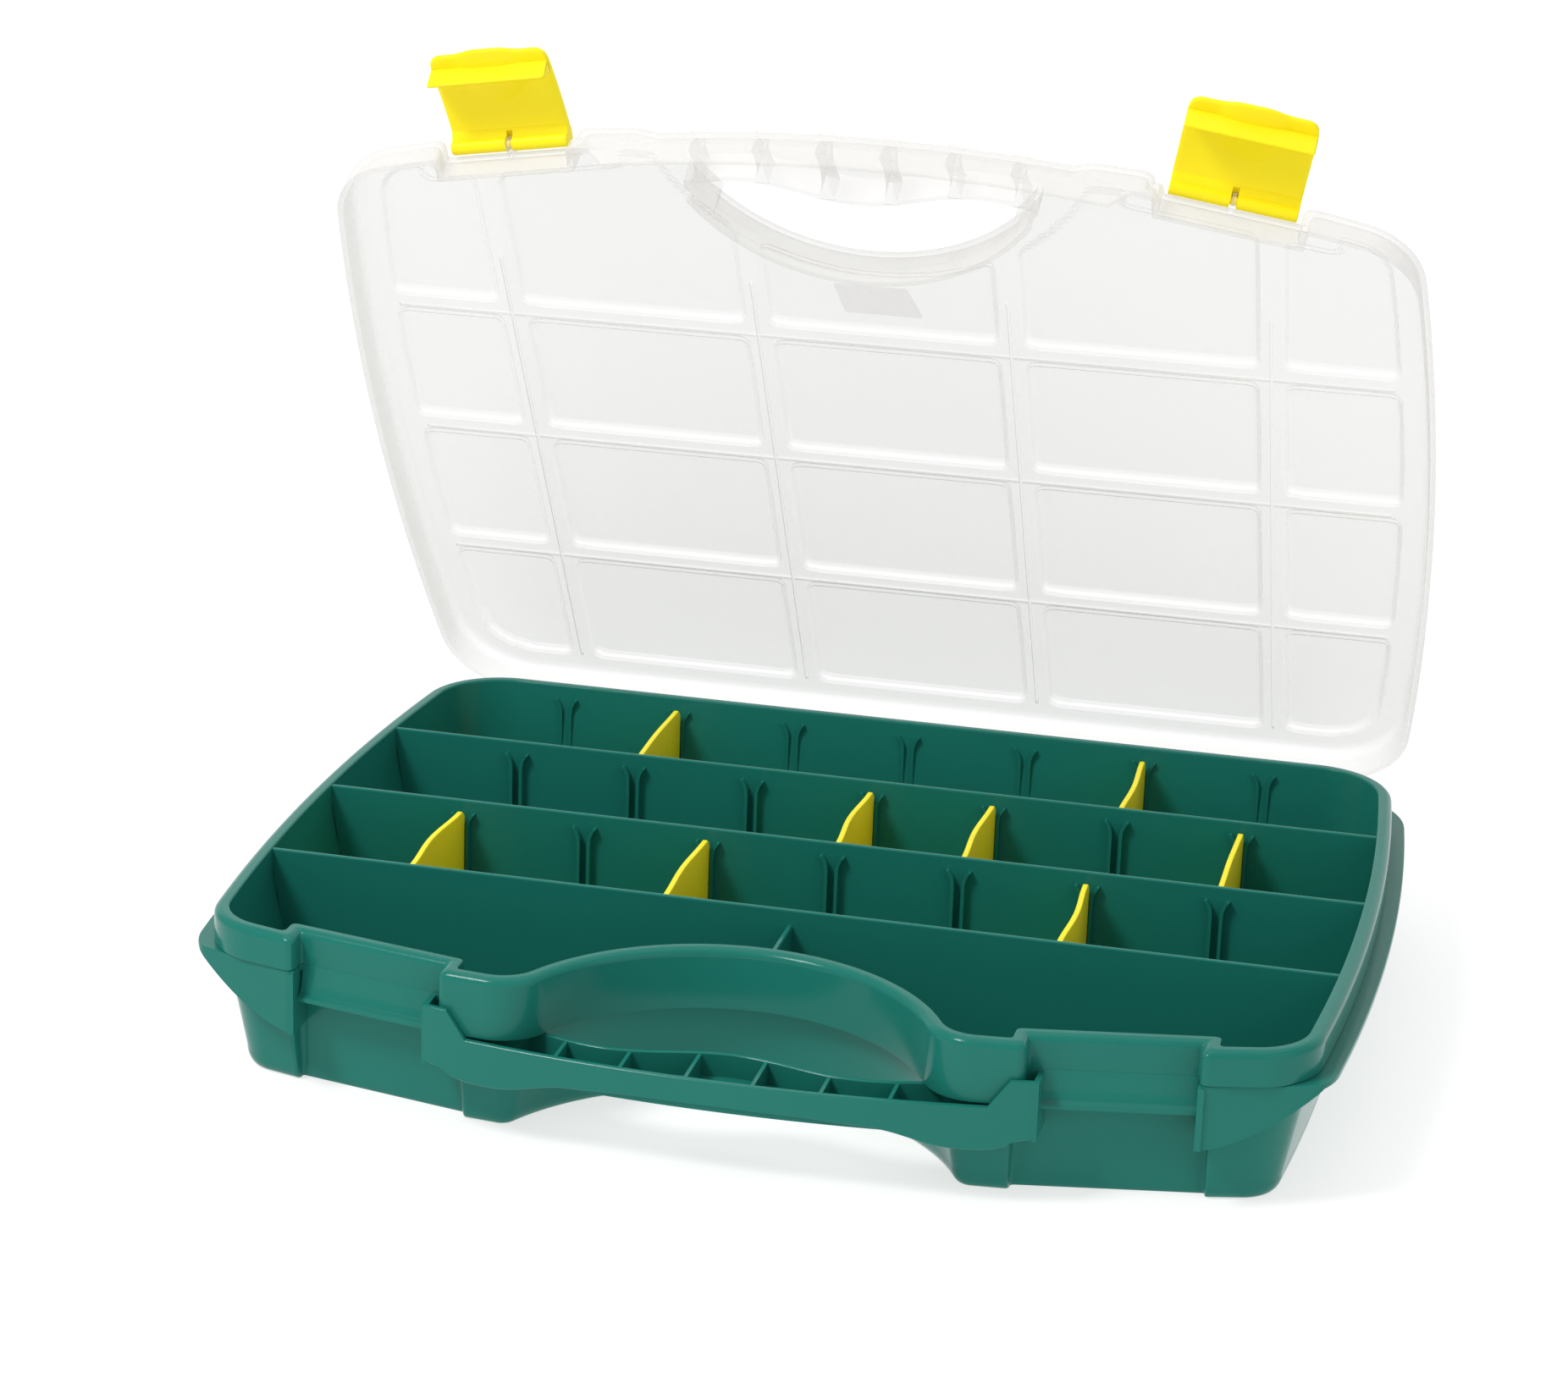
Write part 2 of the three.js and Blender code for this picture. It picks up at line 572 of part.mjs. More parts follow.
function lidPieces() {
  const whole = lidBody();
  const cutRadius = ARC_RADIUS - LID_OUTER;
  const recess = (radius) => cone(radius, radius, 20, 70, ARC_CENTRE_Y);
  const shell = joined(
    without(whole, recess(cutRadius)),
    Object.values(HINGE_STATIONS).map(knuckle),
    bothSides(rightLatchTab()),
  );
  return { shell, handle: whole.intersect(recess(cutRadius - GAP)) };
}

// ---- Latch, in its pocket's frame, hanging closed from its axle at the origin ----

function latch() {
  const w = LATCH_HALF_WIDTH;
  const profile = [
    [0, -2.35], [-2.9, -3.4], [-2.9, -25], [4.1, -25.3], [4.1, -26.6], [-2.9, -27.4], [-2.9, -32.6],
    [-4.9, -33], [-4.9, -1], [-4.2, 1.3], [-2.4, 2.35], [0, 2.35],
  ];
  const plate = alongX(profile, -w, w);
  const barrel = rod(2.4, -w, w, 0, 0);
  const tabGap = block(-1.1, 1.1, -2.9, 6, -4, 6);
  const axle = rod(AXLE_RADIUS, -3, 3, 0, 0, 16);
  const thumb = alongY([[-12, -32], [-8, -34.6], [8, -34.6], [12, -32]], -4.9, -3.1);
  return joined(without(joined(plate, barrel), tabGap), axle, thumb);
}

// ---- Dividers and label ----

function divider() {
  const half = DIVIDER_LENGTH / 2;
  const shape = [[-half, 0], [half, 0], [half, 42], [half - 2, 46.6], [half - 6, DIVIDER_TOP - FLOOR - GAP],
    [-half + 3, DIVIDER_TOP - FLOOR - GAP], [-half, 44.5]];
  return alongX(shape, -DIVIDER_THICKNESS / 2, DIVIDER_THICKNESS / 2);
}

function label() {
  const line = [point(-16.5, -72.4), point(8.6, -72.4), point(13.4, -59.4), point(-13.3, -59.4)];
  const z = LID_TOP + PANEL_RAISE + GAP;
  return prism(line, z, z + 0.25);
}

// ---- Assembly ----

const plastic = (color, roughness, extra = {}) => new THREE.MeshStandardMaterial(
  { color, roughness, metalness: 0, ...extra });
const materials = {
  green: () => plastic(0x1c7461, 0.3),
  clear: () => plastic(0xe9e7e3, 0.25, { transparent: true, opacity: 0.45 }),
  yellow: () => plastic(0xf2dc12, 0.35),
  paper: () => plastic(0xe3dbe6, 0.7),
};

function part(name, solid, material) {
  const mesh = new THREE.Mesh(toGeometry(solid), material());
  mesh.name = name;
  return mesh;
}

const box = new THREE.Group();
box.add(part('tray_shell', trayShell(), materials.green));
for (let row = 1; row <= DIVIDER_SLOTS.length; row++) {
  box.add(part(`long_wall_${row}`, longWall(row), materials.green));
}
box.add(part('short_partition', shortPartition(), materials.green));
box.add(part('tray_handle', trayHandle(), materials.green));

for (const [name, x] of Object.entries(HINGE_STATIONS)) {
  const half = EAR_INNER + EAR_WIDTH;
  const pin = rod(PIN_RADIUS, x - half, x + half, HINGE_Y, HINGE_Z);
  box.add(part(`hinge_pin_${name}`, pin, materials.green));
}

DIVIDER_SLOTS.forEach((rowSlots, index) => {
  const row = index + 1;
  const middleY = longWallFront(row) + (LONG_WALL_THICKNESS + ROW_PITCH) / 2;
  const y = row === 1 ? longWallFront(1) + LONG_WALL_THICKNESS + 0.4 + DIVIDER_LENGTH / 2 : middleY;
  for (const slot of rowSlots) {
    const mesh = part(`divider_${row}_${slot}`, divider(), materials.yellow);
    mesh.position.set((slot - (SLOT_COUNT + 1) / 2) * SLOT_PITCH, y, FLOOR + GAP);
    box.add(mesh);
  }
});

// The lid turns about the hinge line; its pieces are built closed.
const lid = new THREE.Group();
lid.position.set(0, HINGE_Y, HINGE_Z);
lid.rotation.x = -radians(LID_OPEN_DEG);
const closed = new THREE.Group();
closed.position.set(0, -HINGE_Y, -HINGE_Z);
lid.add(closed);
box.add(lid);

const lidSolids = lidPieces();
closed.add(part('lid_shell', lidSolids.shell, materials.clear));
closed.add(part('lid_handle', lidSolids.handle, materials.clear));
closed.add(part('lid_label', label(), materials.paper));

for (const [name, side] of [['latch_left', -1], ['latch_right', 1]]) {
  const mesh = part(name, latch(), materials.yellow);
  mesh.position.set(side * LATCH_PIVOT_X, LATCH_PIVOT_Y, LATCH_PIVOT_Z);
  mesh.rotation.order = 'ZYX';
  mesh.rotation.set(-radians(LATCH_OPEN_DEG), 0, side * POCKET_ANGLE);
  closed.add(mesh);
}

export default box;
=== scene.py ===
# A compartment organiser case, part open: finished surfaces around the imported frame.
# Shapes are worked out in millimetres, +Z up and +Y towards the hinges, and turned into metres
# when a mesh is made.
import json
import math

import bmesh
import bpy
import numpy as np
from mathutils import Matrix, Vector


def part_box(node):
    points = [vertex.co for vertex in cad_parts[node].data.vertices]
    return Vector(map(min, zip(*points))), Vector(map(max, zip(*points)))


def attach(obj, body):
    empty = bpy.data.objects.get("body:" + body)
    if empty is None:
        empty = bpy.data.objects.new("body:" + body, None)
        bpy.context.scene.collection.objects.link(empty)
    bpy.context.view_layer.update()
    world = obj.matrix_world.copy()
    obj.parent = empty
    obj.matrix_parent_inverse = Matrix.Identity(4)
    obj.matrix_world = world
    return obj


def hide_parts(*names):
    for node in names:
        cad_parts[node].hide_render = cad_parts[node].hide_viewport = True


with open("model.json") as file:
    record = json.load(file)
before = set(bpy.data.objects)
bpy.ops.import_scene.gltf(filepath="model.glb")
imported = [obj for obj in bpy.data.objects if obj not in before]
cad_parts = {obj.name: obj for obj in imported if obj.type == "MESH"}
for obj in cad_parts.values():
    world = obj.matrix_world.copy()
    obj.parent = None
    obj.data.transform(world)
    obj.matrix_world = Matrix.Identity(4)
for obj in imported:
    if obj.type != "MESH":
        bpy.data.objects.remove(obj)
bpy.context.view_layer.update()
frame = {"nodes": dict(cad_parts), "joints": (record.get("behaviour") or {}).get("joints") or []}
MM = 0.001
STRIP_HALF = 3.6  # half the width of the strips between the lid's panels


# ---- Places from the frame, in millimetres ----

def node_box(node):
    low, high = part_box(node)
    return np.array(low) / MM, np.array(high) / MM


def middle(node):
    low, high = node_box(node)
    return (low + high) / 2


JOINTS = {joint["name"]: joint for joint in frame["joints"]}
HINGE_Y, HINGE_Z = (value / MM for value in JOINTS["lid_hinge"]["pos_m"][1:])
LID_OPEN = math.radians(JOINTS["lid_hinge"]["range_deg"][1])  # from closed to rest
LATCH_OPEN = math.radians(JOINTS["right_latch_pivot"]["range_deg"][1])
DIVIDERS = sorted(name for name in frame["nodes"] if name.startswith("divider_"))
LONG_WALLS = sorted(name for name in frame["nodes"] if name.startswith("long_wall_"))
HINGE_PINS = sorted(name for name in frame["nodes"] if name.startswith("hinge_pin_"))

RIM_TOP = node_box("tray_shell")[1][2]
WALL_TOP = node_box("long_wall_1")[1][2]
PARTITION_TOP = node_box("short_partition")[1][2]
SLOT_PITCH = middle("divider_2_5")[0] - middle("divider_2_4")[0]
SLOTS = [SLOT_PITCH * step for step in range(-3, 4)]
STRIPS_X = [SLOT_PITCH * step for step in (-3, -1, 1, 3)]
STRIPS_Y = [node_box(name)[0][1] + STRIP_HALF for name in LONG_WALLS]
HINGE_STATIONS = [middle(name)[0] for name in HINGE_PINS]

# ---- Driving dimensions of the mouldings ----

BACK_Y = 137
SIDE_HALF_WIDTH = 178.5  # at the widest point of the bowed sides
SIDE_RADIUS = 1064
SIDE_WIDEST_Y = 7
BACK_CORNER_RADIUS = 24
FRONT_CORNER_RADIUS = 19
LIP_START = np.array([148.2, -119.1])
LIP_SLOPE = math.radians(15)
POCKET_INNER_X = 87.2
POCKET_OUTER_X = 148.2
POCKET_CENTRE = np.array([119.5, -117.5])
POCKET_SLOPE = 0.2
POCKET_ANGLE = math.atan(POCKET_SLOPE)
CHEEK_X = 143.2
CHEEK_BOTTOM = 21.3
COLUMN_CENTRE = np.array([75.5, -120.8])
COLUMN_RADIUS = 12
COLUMN_SHOULDER_Y = -131.6
ARC_CENTRE = np.array([0, -158.8])
ARC_RADIUS = 72.5
FRONT_Y = -147
FRONT_BOW = 950

FLOOR_THICKNESS = 2.2
LEDGE_TOP = 42.5
LEDGE_OFFSET = 10.2
LEDGE_BACK_Y = 145
HANDLE_PARTING = 33.6
RIB_TOP = 49.3
RIB_REACH = 2.6  # how far the slot ribs stand out from their wall
EAR_INNER, EAR_OUTER = 8.6, 12.2  # the hinge ears' faces, from the middle of their station
PIN_BORE = 2.3
RIM_THICKNESS = 5
WALL_THICKNESS = 2.2
DRAFT_TOP = 2
DRAFT_LOW = -4.6
DRAFT_LOW_Z = 8
BACK_DRAFT = 0.35  # share of the draft that the back wall has

LID_BOTTOM = 45.5
LID_BAR_BOTTOM = 38.2  # over the handle
LID_ARC_BOTTOM = 41  # round the finger hole
LID_EDGE = 4.6  # radius of the top edge
LID_TOP = 58.6
LID_SKIN = 1.8
LID_WALL = 1.9
LID_INNER = 5.8
LID_OUTER = LID_INNER + LID_WALL
LID_FRONT_HALF = 96.5
PANEL_RAISE = 1.9
PANEL_SLOPE = 1.9
PANEL_CORNER = 4.5

LATCH_PIVOT_X = 118.8
LATCH_PIVOT_V = 10.6
LATCH_PIVOT_Z = 56
LATCH_HALF_WIDTH = 20.8
GRIP_RIBS = [-52.5, -31.5, -10.5, 10.5, 31.5, 52.5]
GRIP_FLOOR = 23.5
HANDLE_HALF = 97
SHOULDER_X, HANDLE_DROP_X = 88.5, 82  # where the parting line starts and ends its drop to the handle


# ---- Outlines in plan ----

def arc(centre, radius, start, end, steps):
    angles = np.radians(np.linspace(start, end, steps + 1))
    return np.stack([centre[0] + radius * np.cos(angles), centre[1] + radius * np.sin(angles)], 1)


def degrees_to(start, end):
    return math.degrees(math.atan2(end[1] - start[1], end[0] - start[0]))


def pocket_line_y(x):
    return POCKET_CENTRE[1] + POCKET_SLOPE * (x - POCKET_CENTRE[0])


def front_y(x):
    return FRONT_Y + x * x / FRONT_BOW


def finger_y(x):
    """The wavy finger side of the handle."""
    return -126.6 + 3.3 * np.cos(2 * np.pi * x / 76)


def rim_line():
    """The tray's inner rim line, anticlockwise from the middle of the front, and its sharp corners."""
    side_centre = np.array([SIDE_HALF_WIDTH - SIDE_RADIUS, SIDE_WIDEST_Y])
    column_turn = degrees_to(ARC_CENTRE, COLUMN_CENTRE)
    lip = np.array([math.cos(LIP_SLOPE), math.sin(LIP_SLOPE)])
    lip_normal = np.array([-lip[1], lip[0]])
    to_lip = LIP_START + lip_normal * FRONT_CORNER_RADIUS - side_centre
    reach = SIDE_RADIUS - FRONT_CORNER_RADIUS
    along = -to_lip @ lip + math.sqrt((to_lip @ lip) ** 2 - to_lip @ to_lip + reach ** 2)
    front_corner = LIP_START + lip_normal * FRONT_CORNER_RADIUS + lip * along
    back_corner_y = BACK_Y - BACK_CORNER_RADIUS
    back_reach = SIDE_RADIUS - BACK_CORNER_RADIUS
    back_corner_x = side_centre[0] + math.sqrt(back_reach ** 2 - (back_corner_y - SIDE_WIDEST_Y) ** 2)
    back_corner = np.array([back_corner_x, back_corner_y])
    front_turn = degrees_to(side_centre, front_corner)
    back_turn = degrees_to(side_centre, back_corner)

    corners = np.array([
        [POCKET_INNER_X, COLUMN_SHOULDER_Y],
        [POCKET_INNER_X, pocket_line_y(POCKET_INNER_X)],
        [POCKET_OUTER_X, pocket_line_y(POCKET_OUTER_X)],
        LIP_START,
    ])
    smooth_start = [
        arc(ARC_CENTRE, ARC_RADIUS, 90, column_turn, 30),
        arc(COLUMN_CENTRE, COLUMN_RADIUS, column_turn + 180, 275, 14)[1:],
    ]
    smooth_end = [
        arc(front_corner, FRONT_CORNER_RADIUS, math.degrees(LIP_SLOPE) - 90, front_turn, 14),
        arc(side_centre, SIDE_RADIUS, front_turn, back_turn, 22)[1:],
        arc(back_corner, BACK_CORNER_RADIUS, back_turn, 90, 16)[1:],
    ]
    right = np.concatenate([*smooth_start, corners, *smooth_end])
    sharp = np.zeros(len(right), bool)
    first = sum(len(piece) for piece in smooth_start)
    sharp[first:first + len(corners)] = True
    left = right[:0:-1] * [-1, 1]
    return np.concatenate([right, left]), np.concatenate([sharp, sharp[:0:-1]])


RIM_LINE, SHARP = rim_line()


def softened(line, sharp, radii, steps=5):
    """Rounds the sharp corners of a closed line, each with its own radius."""
    points = []
    for i, point in enumerate(line):
        if not sharp[i]:
            points.append(point)
            continue
        before, after = line[i - 1] - point, line[(i + 1) % len(line)] - point
        reach_before, reach_after = np.linalg.norm(before), np.linalg.norm(after)
        turn = math.pi - math.acos(np.clip(before @ after / (reach_before * reach_after), -1, 1))
        trim = min(radii[i] * math.tan(turn / 2), 0.45 * reach_before, 0.45 * reach_after)
        start, end = point + before / reach_before * trim, point + after / reach_after * trim
        for t in np.linspace(0, 1, steps):
            points.append((1 - t) ** 2 * start + 2 * t * (1 - t) * point + t * t * end)
    return np.array(points)


def pocket_corners(reach, wall_reach, side_reach):
    """The right latch pocket's four corners, its back wall and its sides each moved on their own."""
    inner, outer = POCKET_INNER_X + side_reach[0], POCKET_OUTER_X - side_reach[1]
    shoulder = COLUMN_SHOULDER_Y + 0.0875 * (inner - POCKET_INNER_X) - reach
    drop = wall_reach / math.cos(POCKET_ANGLE)
    lip = LIP_START[1] + math.tan(LIP_SLOPE) * (outer - LIP_START[0]) - reach / math.cos(LIP_SLOPE)
    return np.array([
        [inner, shoulder],
        [inner, pocket_line_y(inner) - drop],
        [outer, pocket_line_y(outer) - drop],
        [outer, lip],
    ])


def offset_line(distance, draft=0.0, wall_reach=None, side_reach=None, soft=1.9):
    """The rim line moved outwards by distance and draft, less draft at the back, its corners softened."""
    before, after = np.roll(RIM_LINE, 1, 0), np.roll(RIM_LINE, -1, 0)
    first = RIM_LINE - before
    second = after - RIM_LINE
    first /= np.linalg.norm(first, axis=1)[:, None]
    second /= np.linalg.norm(second, axis=1)[:, None]
    normal = np.stack([first[:, 1] + second[:, 1], -first[:, 0] - second[:, 0]], 1)
    mitre = normal / (1 + (first * second).sum(1))[:, None]
    backness = np.clip((RIM_LINE[:, 1] - 95) / 40, 0, 1)
    reach = distance + draft * (1 - (1 - BACK_DRAFT) * backness)
    line = RIM_LINE + mitre * reach[:, None]
    front_reach = distance + draft
    corners = pocket_corners(
        front_reach,
        front_reach if wall_reach is None else wall_reach,
        (front_reach, front_reach) if side_reach is None else side_reach,
    )
    line[SHARP] = np.concatenate([corners, corners[::-1] * [-1, 1]])
    convex = first[:, 0] * second[:, 1] - first[:, 1] * second[:, 0] > 0
    radii = np.clip(soft + 0.22 * reach * np.where(convex, 1, -1), 0.5, 5)
    return softened(line, SHARP, radii)


def body_draft(z):
    return DRAFT_LOW + (z - DRAFT_LOW_Z) / (LEDGE_TOP - DRAFT_LOW_Z) * (DRAFT_TOP - DRAFT_LOW)


def body_line(z, inset=0.0):
    """The body's outline at a height; the latch pockets' walls are steeper, so they fade out below."""
    share = (LEDGE_TOP - z) / LEDGE_TOP
    wall = DRAFT_TOP - 4.4 * share - 0.45 * inset
    sides = (DRAFT_TOP - 2.2 * share, DRAFT_TOP + 0.3 * share)
    return offset_line(-inset, body_draft(z), wall, sides, 1.9 + 2.6 * share)


def front_points(x0, x1, inset=0.0, steps=40):
    x = np.linspace(x0, x1, steps + 1)
    return np.stack([x, front_y(x) + inset], 1)


def rounded(points, radius, steps=4):
    """A closed outline with all its corners rounded by the same radius."""
    line = np.array(points, float)
    return softened(line, [True] * len(line), [radius] * len(line), steps)


# ---- Solids ----

def shape(vertices, faces):
    mesh = bpy.data.meshes.new("shape")
    mesh.from_pydata([Vector(v) * MM for v in vertices], [], faces)
    obj = bpy.data.objects.new("shape", mesh)
    bpy.context.scene.collection.objects.link(obj)
    return obj


def loft(rings):
    """A closed solid through rings of equally many points, each an (N, 3) array."""
    count = len(rings[0])
    faces = [tuple(range(count))[::-1]]
    for ring in range(len(rings) - 1):
        a = ring * count
        for i in range(count):
            j = (i + 1) % count
            faces.append((a + i, a + j, a + j + count, a + i + count))
    faces.append(tuple(range((len(rings) - 1) * count, len(rings) * count)))
    solid = shape(np.concatenate(rings), faces)
    mesh = bmesh.new()
    mesh.from_mesh(solid.data)
    bmesh.ops.recalc_face_normals(mesh, faces=mesh.faces)
    mesh.to_mesh(solid.data)
    mesh.free()
    return solid


def flat(line, z):
    return np.column_stack([line, np.full(len(line), z)])


def stack(*levels):
    """A solid through (z, outline) levels."""
    return loft([flat(line, z) for z, line in levels])


def prism(line, low, high):
    return stack((low, line), (high, line))


def in_plane_x(outline, x):
    """A (y, z) outline as 3-D points at one x."""
    return np.column_stack([np.full(len(outline), x), outline])


def in_plane_y(outline, y):
    """An (x, z) outline as 3-D points at one y."""
    return np.column_stack([outline[:, 0], np.full(len(outline), y), outline[:, 1]])


def along_x(profile, x0, x1, soft=0.0):
    """A profile of (y, z) points extruded along X, its ends eased by soft."""
    return loft(eased_ends(np.array(profile, float), x0, x1, soft, in_plane_x))


def along_y(profile, y0, y1, soft=0.0):
    """A profile of (x, z) points extruded along Y, its ends eased by soft."""
    return loft(eased_ends(np.array(profile, float), y0, y1, soft, in_plane_y))


def inward(profile, distance):
    """A closed outline pulled in by distance, whichever way round it runs."""
    before, after = np.roll(profile, 1, 0), np.roll(profile, -1, 0)
    first, second = profile - before, after - profile
    first /= np.linalg.norm(first, axis=1)[:, None]
    second /= np.linalg.norm(second, axis=1)[:, None]
    mitre = np.stack([-first[:, 1] - second[:, 1], first[:, 0] + second[:, 0]], 1)
    mitre /= np.maximum(1 + (first * second).sum(1), 0.3)[:, None]
    x, y = profile[:, 0], profile[:, 1]
    turning = np.sign(np.sum(x * np.roll(y, -1) - y * np.roll(x, -1)))
    return profile + mitre * distance * turning


def eased_ends(profile, start, end, soft, place):
    """The rings of an extrusion, the profile drawn in by up to soft at its two ends."""
    if not soft:
        return [place(profile, start), place(profile, end)]
    shares = [(0, 1), (0.3, 0.35), (1, 0)]
    rings = [(start + soft * along, share) for along, share in shares]
    rings += [(end - soft * along, share) for along, share in shares[::-1]]
    return [place(inward(profile, soft * share), at) for at, share in rings]


def block(x0, x1, y0, y1, z0, z1):
    return prism(np.array([[x0, y0], [x1, y0], [x1, y1], [x0, y1]], float), z0, z1)


def rod(radius, x0, x1, y, z, soft=0.0, sides=40):
    angles = np.linspace(0, 2 * math.pi, sides, endpoint=False)
    profile = np.stack([y + radius * np.cos(angles), z + radius * np.sin(angles)], 1)
    return along_x(profile, x0, x1, soft)


def combine(base, operation, others):
    """Applies a boolean of a closed solid with others, which it uses up."""
    for other in others:
        modifier = base.modifiers.new("combine", "BOOLEAN")
        modifier.operation = operation
        modifier.solver = "MANIFOLD"
        modifier.object = other
    evaluated = base.evaluated_get(bpy.context.evaluated_depsgraph_get())
    mesh = bpy.data.meshes.new_from_object(evaluated)
    base.modifiers.clear()
    base.data = mesh
    for other in others:
        bpy.data.objects.remove(other)
    return base


def joined(base, *others):
    return combine(base, "UNION", others)


def without(base, *cuts):
    return combine(base, "DIFFERENCE", cuts)


def shared(base, other):
    return combine(base, "INTERSECT", [other])


def moved(solid, matrix):
    """The same solid moved by a matrix whose lengths are in millimetres."""
    metric = matrix.copy()
    metric.translation = metric.translation * MM
    solid.data.transform(metric)
    if metric.determinant() < 0:
        solid.data.flip_normals()
    return solid


def mirrored(solid):
    copy = solid.copy()
    copy.data = solid.data.copy()
    bpy.context.scene.collection.objects.link(copy)
    return moved(copy, Matrix.Scale(-1, 4, (1, 0, 0)))


def both_sides(solid):
    return [mirrored(solid), solid]


def finish_mesh(solid, name, angle=32):
    """Names a solid, cleans it and shades it smooth except at its creases."""
    mesh = bmesh.new()
    mesh.from_mesh(solid.data)
    bmesh.ops.remove_doubles(mesh, verts=mesh.verts, dist=2e-6)
    bmesh.ops.dissolve_degenerate(mesh, edges=mesh.edges, dist=2e-6)
    mesh.to_mesh(solid.data)
    mesh.free()
    solid.name = solid.data.name = name
    solid.data.shade_smooth()
    solid.data.set_sharp_from_angle(angle=math.radians(angle))
    weighted = solid.modifiers.new("weighted normals", "WEIGHTED_NORMAL")
    weighted.keep_sharp = True
    return solid


# From a pocket's own frame (u along X, v along -Y, origin at the latch axis) to the right pocket.
LATCH_PIVOT_Y = pocket_line_y(LATCH_PIVOT_X) - LATCH_PIVOT_V / math.cos(POCKET_ANGLE)
RIGHT_POCKET = (
    Matrix.Translation((LATCH_PIVOT_X, LATCH_PIVOT_Y, 0))
    @ Matrix.Rotation(POCKET_ANGLE, 4, "Z")
)
LID_TO_REST = (
    Matrix.Translation((0, HINGE_Y, HINGE_Z))
    @ Matrix.Rotation(-LID_OPEN, 4, "X")
    @ Matrix.Translation((0, -HINGE_Y, -HINGE_Z))
)


# ---- Tray ----

def quarter(steps):
    """Shares (along, across) of a quarter circle that starts along its first direction."""
    angles = np.linspace(0, math.pi / 2, steps + 1)
    return [(math.sin(a), 1 - math.cos(a)) for a in angles]


def tray_outside():
    edge_height, edge_depth = 6.0, 3.2
    rings = []
    for up, across in quarter(7)[::-1]:
        z = edge_height * (1 - up)
        line = body_line(edge_height, edge_depth * across)
        rings.append((z, line))
    for z in (DRAFT_LOW_Z + 6, 28, LEDGE_TOP + 0.4):
        rings.append((z, body_line(z)))
    return stack(*rings)


def tray_cavity():
    fillet_height, fillet_depth = 3.0, 1.6
    draft = body_draft(FLOOR_THICKNESS + fillet_height) + 0.6
    rings = []
    for up, across in quarter(5)[::-1]:
        z = FLOOR_THICKNESS + fillet_height * (1 - up)
        rings.append((z, offset_line(-WALL_THICKNESS - fillet_depth * across, draft)))
    for z in (14, 28, LEDGE_TOP):
        rings.append((z, offset_line(-WALL_THICKNESS, body_draft(z))))
    for drop, out in ((0.8, 0), (0.45, 0.1), (0.2, 0.3), (0, 0.7)):
        rings.append((RIM_TOP - drop, offset_line(out)))
    rings.append((RIM_TOP + 1, offset_line(2.2)))
    return stack(*rings)


def upstand(low):
    """The rim above the ledge, with its rounded top."""
    outer = RIM_THICKNESS
    round_edge = 2.7
    rings = [
        (low, offset_line(outer - 0.5)),
        (low + 0.15, offset_line(outer - 0.15)),
        (low + 0.5, offset_line(outer)),
    ]
    for up, across in quarter(7):
        rings.append((RIM_TOP - round_edge + round_edge * up, offset_line(outer - round_edge * across)))
    return stack(*rings)


def ledge_line(inset=0.0):
    """The ledge's edge: the offset rim line, held behind the bowed front."""
    line = offset_line(LEDGE_OFFSET - inset)
    limit = front_y(line[:, 0]) + inset
    ease = 1.2
    gap = np.where(line[:, 1] < 0, line[:, 1] - limit, 1e3)
    line[:, 1] += 0.5 * (np.sqrt(gap ** 2 + ease ** 2) - gap)
    line[:, 1] = np.minimum(line[:, 1], LEDGE_BACK_Y - inset)
    return line


def ledge():
    low = LEDGE_TOP - 2
    plate = stack(
        (low, ledge_line(0.4)),
        (low + 0.4, ledge_line()),
        (LEDGE_TOP - 0.5, ledge_line()),
        (LEDGE_TOP - 0.15, ledge_line(0.15)),
        (LEDGE_TOP, ledge_line(0.5)),
    )
    pocket = block(POCKET_INNER_X - 6, CHEEK_X, -160, -118, 30, 50)
    handle = block(-90, 90, -160, -60, 30, 50)
    return without(plate, handle, *both_sides(pocket))


def right_apron():
    """The skin under the ledge at the front corner, deepest beside the latch pocket, and its cheek."""
    skin = 2
    outside = prism(ledge_line(), CHEEK_BOTTOM - 4, LEDGE_TOP - 0.6)
    inside = prism(ledge_line(skin), CHEEK_BOTTOM - 5, LEDGE_TOP)
    hanging = without(outside, inside)
    shares = np.linspace(0, 1, 24)
    edge = np.stack([CHEEK_X + 37 * shares, CHEEK_BOTTOM + 20 * shares ** 1.75], 1)
    region = along_y([*edge, [200, 42.5], [200, 60], [CHEEK_X, 60]], -150, -30)
    cheek_front, cheek_back = front_y(CHEEK_X) + 0.02, pocket_line_y(CHEEK_X) + 1
    cheek = block(CHEEK_X, CHEEK_X + skin, cheek_front, cheek_back, CHEEK_BOTTOM, LEDGE_TOP - 0.6)
    return joined(shared(hanging, region), cheek)


def right_catch():
    """A face across the pocket that ends in a rib, with an undercut below it, which the latch hooks under."""
    rim = LATCH_PIVOT_V
    profile = rounded([
        [rim + 1.5, 43], [rim + 1.5, 27], [rim - 3.5, 31.3], [rim - 9, 31.3],
        [rim - 9, 32.8], [rim - 7.2, 33.8], [rim - 6.2, 36.2], [rim - 4.9, 43],
    ], 0.5)
    return moved(along_x(profile, -23.6, 25.2), RIGHT_POCKET)


def hinge_ears(x):
    """The two ears of a hinge station, which hold its pin."""
    profile = rounded([
        [136.5, 30.5], [148, 31], [150.8, 33.5], [150.8, 37.5],
        [149, 41], [145, 42.4], [136.5, 42.4],
    ], 1.2)
    soft = 0.3
    return [
        along_x(profile, x - EAR_OUTER, x - EAR_INNER, soft),
        along_x(profile, x + EAR_INNER, x + EAR_OUTER, soft),
    ]


